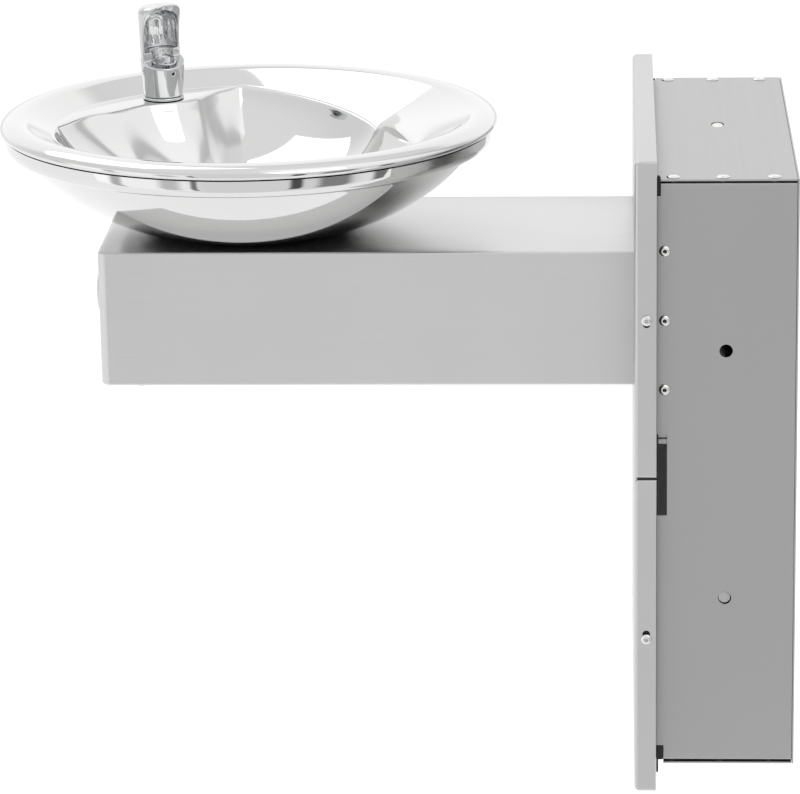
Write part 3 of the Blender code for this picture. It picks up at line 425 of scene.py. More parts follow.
def span(hand, near, far):
    """Two X values on the right (1) or the left (-1), the lower one first."""
    return sorted((hand * near, hand * far))


def towards(direction, origin):
    turn = Vector((0, 0, 1)).rotation_difference(Vector(direction)).to_matrix().to_4x4()
    return Matrix.Translation(origin) @ turn


def circle(radius, height, segments):
    turns = [2 * math.pi * i / segments for i in range(segments)]
    return [Vector((radius * math.cos(t), radius * math.sin(t), height)) for t in turns]


def rod(radius, place, direction, depth, segments=48):
    """A cylinder centred on a place, as a cutter."""
    frame_of = towards(direction, place)
    rings = [[frame_of @ p for p in circle(radius, height, segments)] for height in (-depth, depth)]
    return loose(*loft(rings))


def corner_curve(first, corner, last, steps):
    """The points that round a corner, from first to last."""
    shares = [step / steps for step in range(steps + 1)]
    return [first * (1 - t) ** 2 + corner * 2 * t * (1 - t) + last * t ** 2 for t in shares]


def rounded(points, radii, steps=5):
    """A polyline with its corners rounded. The radius is how far back along each side a corner starts."""
    path = [Vector(points[0])]
    for before, corner, after, radius in zip(points, points[1:], points[2:], radii[1:]):
        before, corner, after = Vector(before), Vector(corner), Vector(after)
        back, on = before - corner, after - corner
        start = corner + back.normalized() * min(radius, back.length * 0.49)
        end = corner + on.normalized() * min(radius, on.length * 0.49)
        path += corner_curve(start, corner, end, steps)
    path.append(Vector(points[-1]))
    return path


def rounded_loop(points, radii, steps=5):
    """A closed outline with rounded corners."""
    return rounded([points[-1], *points, points[0]], [0, *radii, 0], steps)[1:-1]


def turned_mesh(profile, place, segments=96):
    """Points and faces of a closed (radius, height) profile turned about a frame's +Z."""
    points, rings, faces = [], [], []
    for radius, height in profile:
        if radius == 0:
            rings.append([len(points)] * segments)
            points.append(place @ Vector((0, 0, height)))
        else:
            rings.append(list(range(len(points), len(points) + segments)))
            points += [place @ point for point in circle(radius, height, segments)]
    for ring, following in zip(rings, rings[1:] + rings[:1]):
        for i in range(segments):
            j = (i + 1) % segments
            corners = list(dict.fromkeys((ring[i], ring[j], following[j], following[i])))
            if len(corners) > 2:
                faces.append(corners)
    return points, faces


def rounded_profile(profile, radius):
    """A profile with rounded corners. It is closed, or it starts and ends on the axis."""
    if profile[0][0] == 0:
        return rounded(profile, [0] + [radius] * (len(profile) - 2) + [0], 3)
    return rounded_loop(profile, [radius] * len(profile), 3)


def spun(profile, radius, place, segments=96):
    """A turned solid with rounded corners, as a Boolean's input."""
    return loose(*turned_mesh(rounded_profile(profile, radius), place, segments))


def turned(name, profile, material, place, replaced=(), body=ROOT, radius=0.35 * MM, segments=96):
    """A turned piece whose profile's corners are rounded."""
    points, faces = turned_mesh(rounded_profile(profile, radius), place, segments)
    return piece(name, points, faces, material, replaced, body, 32)


def puck(radius, start, end):
    """The profile of a plain disc between two heights."""
    return [(0, start), (radius, start), (radius, end), (0, end)]


def at(x, y, z):
    return Matrix.Translation((x, y, z))


def bent_path(corners, radius, steps=14):
    """The straight runs between the corners, joined by arcs of this radius."""
    corners = [Vector(corner) for corner in corners]
    path = [corners[0]]
    for before, corner, after in zip(corners, corners[1:], corners[2:]):
        arriving = (corner - before).normalized()
        leaving = (after - corner).normalized()
        turn = arriving.angle(leaving)
        setback = radius * math.tan(turn / 2)
        inwards = (leaving - arriving).normalized()
        centre = corner + inwards * radius / math.cos(turn / 2)
        axis = arriving.cross(leaving)
        first = corner - arriving * setback - centre
        for step in range(steps + 1):
            path.append(centre + Matrix.Rotation(turn * step / steps, 3, axis) @ first)
    path.append(corners[-1])
    return path


def tube(name, path, radius, bore, material, replaced=(), sides=32):
    """A hollow tube along a path, or a rod if it has no bore."""
    headings = [(b - a).normalized() for a, b in zip(path, path[1:])]
    headings.append(headings[-1])
    sideways = headings[0].orthogonal().normalized()
    previous = headings[0]
    outer, inner = [], []
    for place, heading in zip(path, headings):
        middle = (previous + heading).normalized()
        sideways = (sideways - middle * sideways.dot(middle)).normalized()
        upwards = middle.cross(sideways)
        turns = [2 * math.pi * i / sides for i in range(sides)]
        spokes = [sideways * math.cos(turn) + upwards * math.sin(turn) for turn in turns]
        outer.append([place + spoke * radius for spoke in spokes])
        if bore:
            inner.append([place + spoke * bore for spoke in spokes])
        previous = heading
    points, faces = loft(outer + inner[::-1], closed_along=bool(bore))
    return piece(name, points, faces, material, replaced, smooth_angle=35)


def water_pipe(node, path):
    tube(node + "_drawn", path, WATER_TUBE, WATER_BORE, CHROME, [node], sides=24)


def waste_pipe(node, corners, bend):
    tube(node + "_drawn", bent_path(corners, bend), WASTE_TUBE, WASTE_BORE, CHROME, [node], sides=48)


# Wall box

def side_section(hand):
    """The folded section of a box side in X and Z: a web with a lip at the top and at the bottom."""
    outer = BOX_WIDTH / 2
    tip = outer - BOX_LIP
    top = BOX_HEIGHT / 2 - SHEET - PLATE_GAP
    corners = [
        (tip, top - SHEET), (outer - SHEET, top - SHEET), (outer - SHEET, -top + SHEET), (tip, -top + SHEET),
        (tip, -top), (outer, -top), (outer, top), (tip, top),
    ]
    bend = 2.2 * MM
    radii = [0.2 * MM, bend - SHEET, bend - SHEET, 0.2 * MM, 0.2 * MM, bend, bend, 0.2 * MM]
    return [(hand * x, z) for x, z in rounded_loop(corners, radii)]


def box_sides():
    """Each side's front edge is notched, and it has three rivet holes and two fixing holes."""
    holes = [(2.4 * MM, SIDE_RIVET_Y, height, 24) for height in SIDE_RIVET_HEIGHTS]
    holes += [(FIXING_HOLE, SIDE_FIXING_Y, height, 48) for height in FIXING_HEIGHTS]
    for name, hand in (("box_right_side", 1), ("box_left_side", -1)):
        cutters = [rod(radius, (hand * BOX_WIDTH / 2, y, height), (1, 0, 0), 4 * MM, segments)
                   for radius, y, height, segments in holes]
        cutters += [notch(hand, *place) for place in NOTCHES]
        mesh = carve(along_y(side_section(hand), (-BOX_DEPTH, -SHEET - GAP)), cutters)
        soften(dress(name + "_sheet", mesh, SATIN_BOX, [name]), 0.2 * MM, 2, 40)
        knockout_and_tab(name, hand)


def notch(hand, bottom, top, depth, width=NOTCH_WIDTH):
    """A cutter for one notch in the front edge, on the right (1) or the left (-1)."""
    across = span(hand, BOX_WIDTH / 2 - width, BOX_WIDTH / 2 + 1 * MM)
    return cuboid(across, (-BOX_DEPTH - 1 * MM, -BOX_DEPTH + depth), (bottom, top))


def knockout_and_tab(name, hand):
    """The disc in the lower fixing hole, the rails' hooks, and the folded tab behind the middle notch. The
    hooks are painted near-black for the shade in the end notches.
    """
    centre = (hand * (BOX_WIDTH / 2 - 1 * MM), SIDE_FIXING_Y - 0.2 * MM, FIXING_HEIGHTS[0] + 0.45 * MM)
    turned(name + "_knockout", puck(4.3 * MM, -0.4 * MM, 0.4 * MM), SATIN_TOP,
           towards((hand, 0, -0.1), centre), radius=0.2 * MM, segments=48)
    outer = BOX_WIDTH / 2 - 0.4 * MM
    across = span(hand, outer - 2.4 * MM, outer)
    peak = 224.8 if hand == 1 else 222
    for level, wide, narrow in (("upper", (210.5, 220, -99.2), (220, peak, -99.6)),
                                ("lower", (-219.5, -208.5, -96.6), (-229.5, -219.5, -100))):
        first, second = [cuboid(across, (-BOX_DEPTH + 0.1 * MM, deep * MM), (low * MM, high * MM))
                         for low, high, deep in (wide, narrow)]
        mesh = carve(first, [second], "UNION")
        # The hooks are near-black: painted shade in the end notches.
        soften(dress(f"{name}_{level}_hook", mesh, DARK_STEEL_AND_SHADE), 0.2 * MM, 2)
    outer = BOX_WIDTH / 2 - 1.7 * MM
    deep = (-100.6 * MM, -93 * MM)
    web = cuboid(span(hand, outer - 4 * MM, outer - 2.6 * MM), deep, (24.8 * MM, 32.6 * MM))
    across = span(hand, outer - 3 * MM, outer)
    legs = [cuboid(across, deep, (low * MM, high * MM)) for low, high in ((24.8, 28.5), (30, 32.6))]
    tab = dress(name + "_tab", carve(web, legs, "UNION"), SATIN_BOX)
    soften(tab, 0.25 * MM, 2)


def oval(shrink, floor, ceiling):
    """A solid between two heights with the plan of the top plate's hole, drawn this far inside it."""
    (x, y), (long_reach, short_reach) = TOP_HOLE, TOP_HOLE_REACH
    turns = [2 * math.pi * step / 48 for step in range(48)]
    outline = [(x + (long_reach - shrink) * math.cos(turn), y + (short_reach - shrink) * math.sin(turn))
               for turn in turns]
    return upright(outline, (floor, ceiling))


def plate(node, blank, cutters):
    """A flat sheet of the box, which stands for one CAD node."""
    mesh = carve(blank, cutters)
    soften(dress(node + "_sheet", mesh, SATIN_TOP, [node]), 0.3 * MM, 2)


def box_plates():
    top = BOX_HEIGHT / 2
    wide = (-BOX_WIDTH / 2, BOX_WIDTH / 2)
    deep = (-BOX_DEPTH, -SHEET - GAP)
    blank = cuboid(wide, deep, (top - SHEET, top))
    cutters = [oval(0, top - 4 * MM, top + 4 * MM)]
    plate("box_top", blank, cutters + [notch(hand, *NOTCHES[2], PLATE_NOTCH) for hand in (1, -1)])
    plug = settled(oval(0.5 * MM, top - 2.6 * MM, top - 0.6 * MM))
    soften(dress("top_hole_plug", plug, WHITE_PLASTIC), 0.4 * MM, 3)
    blank = cuboid(wide, deep, (-top, -top + SHEET))
    plate("box_bottom", blank, [notch(hand, *NOTCHES[0], PLATE_NOTCH) for hand in (1, -1)])
    blank = cuboid(wide, (-SHEET, 0), (-top, top))
    half, low_edge, high_edge = BACK_OPENING
    outline = outline_xz(-half, half, low_edge, high_edge, 6 * MM)
    plate("box_back", blank, [along_y(outline, (-5 * MM, 5 * MM))])


RIVET_TAIL = 7.2 * MM
RIVET_SHANK = [
    (2.0 * MM, GAP / 2), (2.0 * MM, -RIVET_TAIL + 2.2 * MM), (3.0 * MM, -RIVET_TAIL + 1.4 * MM),
    (2.0 * MM, -RIVET_TAIL), (0, -RIVET_TAIL),
]


def rivet_profile(radius, height):
    """A blind rivet: a domed head with a dished core, and its set tail."""
    return [
        (0, height * 0.25), (radius * 0.27, height * 0.25), (radius * 0.36, height),
        (radius * 0.66, height * 0.92), (radius * 0.92, height * 0.55), (radius, GAP * 0.8),
        (radius, GAP / 2),
    ] + RIVET_SHANK


def dome_profile(radius, height):
    """A low domed rivet head and its set tail."""
    turns = [math.pi / 2 * i / 8 for i in range(8)]
    dome = [(radius * math.sin(turn), height * math.cos(turn)) for turn in turns]
    return dome + [(radius, GAP / 2)] + RIVET_SHANK


def rivets():
    for side, hand in (("right", 1), ("left", -1)):
        for number, height in enumerate(SIDE_RIVET_HEIGHTS, start=1):
            place = towards((hand, 0, 0), (hand * BOX_WIDTH / 2, SIDE_RIVET_Y, height))
            name = f"side_rivet_{side}_{number}"
            turned(name + "_detail", rivet_profile(4.1 * MM, 1.9 * MM), ZINC, place, [name],
                   segments=48)
            # The near-black disc in the rivet's dished core is painted shade in its hollow.
            turned(name + "_core", puck(1.15 * MM, 0.6 * MM, 0.45 * MM), DARK_STEEL_AND_SHADE, place,
                   segments=24, radius=0.05 * MM)
        for number, y in enumerate(TOP_RIVET_ROWS, start=1):
            for level, sign in (("top", 1), ("bottom", -1)):
                place = towards((0, 0, sign), (hand * TOP_RIVET_X, y, sign * BOX_HEIGHT / 2))
                turned(f"{level}_rivet_{side}_{number}", dome_profile(4.9 * MM, 1.4 * MM), ZINC, place,
                       segments=48)


# Panels

def outline_xz(left, right, bottom, top, corner):
    """A rounded rectangle as (x, z) pairs."""
    return rounded_loop([(left, bottom), (right, bottom), (right, top), (left, top)], [corner] * 4, 6)


def tray(name, bottom, top, slot_height, opening):
    """A front panel pressed from one sheet: a flat face with soft edges and rims folded back."""
    half = PANEL_WIDTH / 2
    bend = 3.2 * MM
    back = -BOX_DEPTH - GAP

    def skin(inset):
        reach = bend - inset
        rings = []
        for degrees in range(0, 91, 15):
            turn = math.radians(degrees)
            y = PANEL_FACE + inset + reach * (1 - math.cos(turn))
            rings.append((y, inset + reach * (1 - math.sin(turn))))
        rings.append((back + (2 * MM if inset else 0), inset))
        return loose(*loft([
            [(x, y, z) for x, z in outline_xz(
                -half + shrink, half - shrink, bottom + shrink, top - shrink, 2.6 * MM
            )] for y, shrink in rings
        ]))

    shell = skin(0)
    cutters = [skin(SHEET)]
    for hand in (1, -1):
        cutters.append(slot_cutter(hand * half, slot_height))
        cutters.append(cuboid(span(hand, 156 * MM, half - SHEET), (PANEL_FACE + 2 * MM, 0),
                              (SEAM_HEIGHT - 3 * MM, SEAM_HEIGHT + 3 * MM)))
    if opening:
        half_arm = ARM_WIDTH / 2 + GAP
        cutters.append(cuboid((-half_arm, half_arm), (PANEL_FACE - 5 * MM, PANEL_FACE + 5 * MM),
                              (ARM_BOTTOM - GAP, ARM_TOP + GAP)))
    item = dress(name + "_pressing", carve(shell, cutters), BRUSHED_PANEL, [name])
    soften(item, 0.18 * MM, 2, 50)


def slot_cutter(x, height):
    """A slot with round ends along Z, cut through a rim."""
    radius = SLOT_WIDTH / 2
    reach = SLOT_LENGTH / 2 - radius
    outline = []
    for i in range(24):
        turn = 2 * math.pi * (i + 0.5) / 24
        outline.append((SCREW_Y + radius * math.cos(turn),
                        height + radius * math.sin(turn) + math.copysign(reach, math.sin(turn))))
    return loose(*loft([[(x + offset, y, z) for y, z in outline] for offset in (-3 * MM, 3 * MM)]))


def panels():
    tray("upper_panel", SEAM_HEIGHT + SEAM / 2, PANEL_HEIGHT / 2, SLOT_HEIGHTS[1], True)
    tray("lower_panel", -PANEL_HEIGHT / 2, SEAM_HEIGHT - SEAM / 2, SLOT_HEIGHTS[0], False)
    for side, hand in (("right", 1), ("left", -1)):
        for level, height in zip(("lower", "upper"), SCREW_HEIGHTS):
            name = f"panel_screw_{level}_{side}"
            place = towards((hand, 0, 0), (hand * PANEL_WIDTH / 2, SCREW_Y, height))
            socket_screw(name, place, 4 * MM, 2.1 * MM, 2.1 * MM, 7 * MM)


def socket_screw(name, place, head, tall, shank, length):
    """A button-head screw with a hexagon socket, whose floor is a darker disc: painted shade."""
    profile = [
        (0, tall), (head * 0.55, tall), (head * 0.85, tall * 0.78), (head, tall * 0.35), (head, GAP),
        (shank, GAP), (shank, -length + 0.6 * MM), (shank - 0.6 * MM, -length), (0, -length),
    ]
    body = spun(profile, 0.3 * MM, place, 48)
    key = head * 0.42
    socket = loose(*loft([
        [place @ p for p in circle(key, height, 6)] for height in (tall - 1.3 * MM, tall + 1 * MM)
    ]))
    dress(name + "_detail", carve(body, [socket]), ZINC, [name])
    # A darker galvanised disc on the socket's floor: painted shade in the recess.
    floor = puck(key * 0.84, tall - 1.25 * MM, tall - 1.4 * MM)
    turned(name + "_socket_shade", floor, GALVANISED, place, radius=0.03 * MM, segments=24)


# Arm

def arm_plan(inset, steps=10):
    half = ARM_WIDTH / 2 - inset
    front = NOSE + inset
    radius = max(NOSE_CORNER - inset, 0.6 * MM)
    points = [(half, ARM_END)]
    for centre, start in ((half - radius, 0), (radius - half, -90)):
        for step in range(steps + 1):
            turn = math.radians(start - 90 * step / steps)
            points.append((centre + radius * math.cos(turn), front + radius + radius * math.sin(turn)))
    points.append((-half, ARM_END))
    return points


def arm_block(levels):
    """A solid from (height, inset) levels of the arm's plan."""
    return loose(*loft([[(x, y, z) for x, y in arm_plan(inset)] for z, inset in levels]))


def arm():
    """A folded and welded shell with soft edges, open at the wall end and closed by a cover below."""
    edge = 1.8 * MM
    levels = []
    for quarter in range(5):
        turn = math.radians(22.5 * quarter)
        levels.append((ARM_BOTTOM + edge * (1 - math.sin(turn)), edge * (1 - math.cos(turn))))
    shell = arm_block(sorted(levels + [(ARM_TOP + ARM_BOTTOM - z, inset) for z, inset in levels]))
    cover_level = ARM_BOTTOM + SHEET + GAP
    cutters = [
        arm_block([(cover_level + SHEET, SHEET), (ARM_TOP - SHEET, SHEET)]),
        arm_block([(ARM_BOTTOM - 5 * MM, 12 * MM), (cover_level + 2 * MM, 12 * MM)]),
        arm_block([(ARM_BOTTOM - 5 * MM, SHEET), (cover_level, SHEET)]),
        cuboid((-ARM_WIDTH / 2 + SHEET, ARM_WIDTH / 2 - SHEET), (ARM_END - 30 * MM, ARM_END + 5 * MM),
               (cover_level + SHEET, ARM_TOP - SHEET)),
        rod(71 * MM, (*BOWL_CENTRE.xy, ARM_TOP), (0, 0, 1), 6 * MM, 128),
        rod(21.7 * MM, BUTTON_POINT, (0, 1, 0), 5 * MM, 96),
    ]
    mesh = carve(shell, cutters + cover_screw_holes(2.2 * MM))
    dress("arm_shell_folded", mesh, BRUSHED_ARM, ["arm_shell"])

    cover = arm_block([(ARM_BOTTOM, SHEET + GAP), (ARM_BOTTOM + SHEET, SHEET + GAP)])
    wall_end = cuboid((-1, 1), (PANEL_FACE + 4 * MM, 0), (0, ARM_TOP))
    mesh = carve(cover, [wall_end] + cover_screw_holes(2.4 * MM))
    soften(dress("arm_bottom_cover_sheet", mesh, BRUSHED_ARM, ["arm_bottom_cover"]), 0.25 * MM, 2)
    for number, (x, y) in enumerate(COVER_SCREWS, start=1):
        place = towards((0, 0, -1), (x, y, ARM_BOTTOM))
        socket_screw(f"arm_cover_screw_{number}", place, 3.8 * MM, 1.8 * MM, 1.9 * MM, 7 * MM)


COVER_SCREWS = [(hand * (ARM_WIDTH / 2 - 6.8 * MM), NOSE + 30 * MM) for hand in (-1, 1)]


def cover_screw_holes(radius):
    return [rod(radius, (x, y, ARM_BOTTOM), (0, 0, 1), 8 * MM, 24) for x, y in COVER_SCREWS]


# Basin and bowl shell

STEP_START = 325
STEP_END = 390
SPIRAL_START = 263
SPIRAL_PITCH = 0.54 * MM
STEP_DISTANCE = 108.6 * MM
STEP_HEADING = 346.5
STEP_DROP = 6 * MM
LEDGE_DROP = 13 * MM
DECK_EDGE = [
    (174, 149.7), (187, 142), (197, 134.5), (206, 123.5), (221, 118.5),
    (235, 110), (244, 114.7), (250, 124.7), (256, 135.5), (266, 149.7),
]
LEDGE_EDGE = [(325, 115.7), (345, 102.9), (370, 98.9), (400, 110.8), (425, 130.6), (455, 149.7)]
AROUND = 360


def smooth_between(table, angle):
    """A radius on a smooth curve through a short table, held flat at the table's ends."""
    angles = [a for a, r in table]
    radii = [r for a, r in table]
    if not angles[0] <= angle <= angles[-1]:
        return FLANGE_RADIUS
    k = max(i for i in range(len(angles) - 1) if angles[i] <= angle)
    h = angles[k + 1] - angles[k]
    t = (angle - angles[k]) / h

    def slope(i):
        if i in (0, len(angles) - 1):
            return 0
        return (radii[i + 1] - radii[i - 1]) / (angles[i + 1] - angles[i - 1])

    a, b = radii[k], radii[k + 1]
    value = (
        (2 * t ** 3 - 3 * t ** 2 + 1) * a + (t ** 3 - 2 * t ** 2 + t) * h * slope(k)
        + (-2 * t ** 3 + 3 * t ** 2) * b + (t ** 3 - t ** 2) * h * slope(k + 1)
    )
    return value * MM


def eased(value):
    value = min(1, max(0, value))
    return value * value * (3 - 2 * value)


def roll_point(degrees, inset):
    """(radius, height) on the rim's roll: 90 is its crown, 0 its outermost point, -45 its lower edge."""
    turn = math.radians(degrees)
    tall = ROLL_RISE if degrees > 0 else ROLL_DROP
    return (
        RIM_RADIUS - ROLL_WIDTH + (ROLL_WIDTH - inset) * math.cos(turn),
        RIM_CROWN - ROLL_RISE + (tall - inset) * math.sin(turn),
    )


def flange_edge(angle):
    """(radius, height) of the flange's inner edge: a circle, a spiral inwards, then the step back out."""
    start_radius, start_height = roll_point(ROLL_START, 0)
    slope = (start_height - FLANGE_HEIGHT) / (start_radius - FLANGE_RADIUS)
    turn = angle % 360
    if turn < STEP_END - 360:
        turn += 360
    if SPIRAL_START < turn < STEP_START:
        radius = FLANGE_RADIUS - SPIRAL_PITCH * (turn - SPIRAL_START)
        return radius, FLANGE_HEIGHT - slope * (FLANGE_RADIUS - radius)
    if turn >= STEP_START:
        radius = STEP_DISTANCE / math.cos(math.radians(turn - STEP_HEADING))
        share = (turn - STEP_START) / (STEP_END - STEP_START)
        return radius, FLANGE_HEIGHT - LEDGE_DROP * (1 - share) ** 2
    return FLANGE_RADIUS, FLANGE_HEIGHT


def basin_edge(angle):
    """(step foot's height, radius, height) of the edge where the basin's wall begins."""
    radius, height = flange_edge(angle)
    turn = angle % 360
    if turn < DECK_EDGE[0][0] - 60:
        turn += 360
    foot = height - 0.4 * MM
    if turn >= STEP_START:
        share = min(1, (turn - STEP_START) / (STEP_END - STEP_START))
        foot = height - 0.4 * MM - STEP_DROP * math.sin(math.pi * share)
        edge = min(radius - 3 * MM, smooth_between(LEDGE_EDGE, turn))
        low = FLANGE_HEIGHT - LEDGE_DROP - 3 * MM
        rise = eased((turn - 370) / (LEDGE_EDGE[-1][0] - 370))
        return foot, edge, min(foot - 0.5 * MM, low + (FLANGE_HEIGHT - low) * rise)
    edge = min(radius - 3 * MM, smooth_between(DECK_EDGE, turn))
    return foot, edge, foot - 0.4 * MM


def wall_height(share):
    dish = 0.97
    curve = (1 - math.sqrt(1 - (dish * share) ** 2)) / (1 - math.sqrt(1 - dish ** 2))
    return 0.35 * share ** 2 + 0.65 * curve


def basin_section(angle):
    """The upper surface from the drain hole outwards to the start of the rim's roll, at one angle."""
    flat = 24 * MM
    foot, edge, edge_height = basin_edge(angle)
    flange, flange_height = flange_edge(angle)
    steps = 34
    corners = [(DRAIN_HOLE, DRAIN_HEIGHT)]
    for step in range(steps + 1):
        share = step / steps
        height = DRAIN_HEIGHT + (edge_height - DRAIN_HEIGHT) * wall_height(share)
        corners.append((flat + (edge - flat) * share, height))
    corners += [(flange - 1.2 * MM, foot), (flange, flange_height), roll_point(ROLL_START, 0)]
    radii = [0] * (steps + 1) + [3.2 * MM, 1.5 * MM, 1.8 * MM, 0]
    path = []
    for index, (corner, radius) in enumerate(zip(corners, radii)):
        corner = Vector(corner)
        if not radius:
            path.append(corner)
            continue
        back = Vector(corners[index - 1]) - corner
        on = Vector(corners[index + 1]) - corner
        room = 0.95 if radii[index - 1] == 0 else 0.45
        first = corner + back.normalized() * min(radius, back.length * room)
        last = corner + on.normalized() * min(radius, on.length * 0.45)
        path += corner_curve(first, corner, last, 4)
    return path


def rim_roll(inset):
    """The rim's roll, from the flange over its crown to its lower edge, drawn this far inside."""
    steps = 34
    sweep = ROLL_END - ROLL_START
    return [roll_point(ROLL_START + sweep * step / steps, inset) for step in range(1, steps + 1)]


def swept_ring(name, section_at, node):
    """A polished ring about the bowl's axis, from its (radius, height) section at each angle."""
    rings = []
    for i in range(AROUND):
        turn = math.radians(360 * i / AROUND)
        rings.append([
            BOWL_CENTRE + Vector((radius * math.sin(turn), radius * math.cos(turn), height))
            for radius, height in section_at(360 * i / AROUND)
        ])
    points, faces = loft(rings, closed_along=True)
    piece(name, points, faces, MIRROR, [node], smooth_angle=38)


def basin():
    def section_at(angle):
        upper = basin_section(angle)
        lower = [(radius, height - SHEET) for radius, height in upper]
        return upper + rim_roll(0) + rim_roll(SHEET)[::-1] + lower[::-1]

    swept_ring("basin_pressing", section_at, "basin")


SHELL_RADIUS = 175.3 * MM
SHELL_TOP = 210.3 * MM
SHELL_BOTTOM = 140 * MM


def shell_height(radius):
    share = radius / SHELL_RADIUS
    return SHELL_BOTTOM + (SHELL_TOP - SHELL_BOTTOM) * (0.6 * share ** 2 + 0.4 * share ** 4)


def bowl_shell():
    """The upright apron under the rim and the shallow round shell below it, as one spun sheet."""
    radii = np.linspace(24 * MM, SHELL_RADIUS, 60)
    outside = [(radius, shell_height(radius)) for radius in radii]
    apron = [(178.4, 210.2), (182.3, 211.8), (184.8, 216), (185.4, 223.9)]
    apron = [(radius * MM, height * MM) for radius, height in apron]
    softness = [0, 0.5 * MM, 1.4 * MM, 2.4 * MM, 2.4 * MM, 0]
    inside = [(radius, shell_height(radius) + SHEET) for radius in radii[:-1]]
    inside += [(SHELL_RADIUS - 2 * SHEET, SHELL_TOP + SHEET / 2), (176.6 * MM, 211.7 * MM)]
    inside += [(radius - SHEET, height + SHEET / 2) for radius, height in apron[1:-1]]
    inside.append((apron[-1][0] - SHEET, apron[-1][1]))
    section = outside[:-2] + rounded(outside[-2:] + apron, softness, 4) + inside[::-1]
    swept_ring("bowl_shell_spun", lambda angle: section, "bowl_shell")


# Bubbler

def smooth_max(a, b, k):
    """The larger of two distances, blended over a width k: an intersection with a rounded edge."""
    h = np.clip(0.5 - 0.5 * (b - a) / k, 0, 1)
    return b + (a - b) * h + k * h * (1 - h)


def smooth_min(a, b, k):
    return -smooth_max(-a, -b, k)


def disc_column(x, y, z, radius, low, high, edge):
    """Signed distance to an upright cylinder with rounded rims."""
    across = np.sqrt(x * x + y * y) - radius + edge
    along = np.abs(z - (low + high) / 2) - (high - low) / 2 + edge
    outside = np.sqrt(np.maximum(across, 0) ** 2 + np.maximum(along, 0) ** 2)
    return outside + np.minimum(np.maximum(across, along), 0) - edge


SEAT = 30.7
HOOD_TOP = 73.0


def casting(p):
    """Signed distance in millimetres to the bubbler's body and hood. +X faces the basin's middle."""
    x, y, z = p[..., 0], p[..., 1], p[..., 2]
    round_body = np.sqrt(x * x + y * y) - 15.3 - 1.9 * np.clip((z - 2) / 28, 0, 1)
    top_face = (z - SEAT + 0.295 * x - 0.0785 * y) / 1.045
    body = smooth_max(smooth_max(round_body, top_face, 1.1), 2.2 - z, 0.5)
    share = np.clip((z - 20) / 52, 0, 1)
    hx = x + 1.4 * share
    hy = y + 1.2 * share
    roof = HOOD_TOP + 0.05 * hx + 0.04 * hy
    hood = disc_column(hx, hy, z + HOOD_TOP - roof, 16.6, 18, HOOD_TOP, 5.5)
    rise = np.clip((z - 39) / 38.5, 0, 1)
    front = 0.4 + 18 * (1 - np.sqrt(1 - rise ** 2)) - 0.05 * np.clip(39 - z, 0, 20)
    hood = smooth_max(hood, hx - front, 0.9)
    turn = np.arctan2(hy, -hx)
    fade = np.clip((z - 40) / 7, 0, 1) * np.clip((HOOD_TOP - 7 - z) / 12, 0, 1)
    fade = fade * np.clip((1.15 - np.abs(turn)) / 0.25, 0, 1)
    flutes = 0.8 * np.cos(9 * turn + 0.5) * fade
    squeeze = np.clip((z - (HOOD_TOP - 15)) / 12.4, 0, 0.999)
    inner = (14.9 + flutes) * np.sqrt(1 - squeeze ** 2.4)
    cavity = smooth_max(np.sqrt(hx * hx + hy * hy) - inner, 37.5 + 0.06 * hy - z, 1.2)
    solid = smooth_max(smooth_min(body, hood, 1.0), -cavity, 1.0)
    well = np.sqrt((x - 1.0) ** 2 + (y - 0.6) ** 2) - 9.6
    well = smooth_max(well, -top_face - 0.2, 0.6)
    well = smooth_max(well, z - 42, 0.6)
    solid = smooth_max(solid, -well, 0.7)
    ox, oy = x - 3.4, y - 0.8
    across = np.sqrt((ox * 1.045 - 0.2 * top_face) ** 2 + oy ** 2)
    lip = np.sqrt((across - 6.9) ** 2 + (top_face * 1.1) ** 2) - 0.75
    solid = smooth_min(solid, lip, 0.7)
    bore = smooth_max(across - 6.3 - 0.35 * np.clip(top_face, -6, 1), -5.2 - top_face, 0.8)
    solid = smooth_max(solid, -bore, 0.6)
    jet = smooth_max(smooth_max(across - 1.9, top_face + 2.6, 0.6), -7 - top_face, 0.3)
    solid = smooth_min(solid, jet, 0.5)
    set_screw = smooth_max(np.sqrt(y * y + (z - 21.3) ** 2) - 1.35, 15.4 - x, 0.3)
    return smooth_max(solid, -set_screw, 0.4)


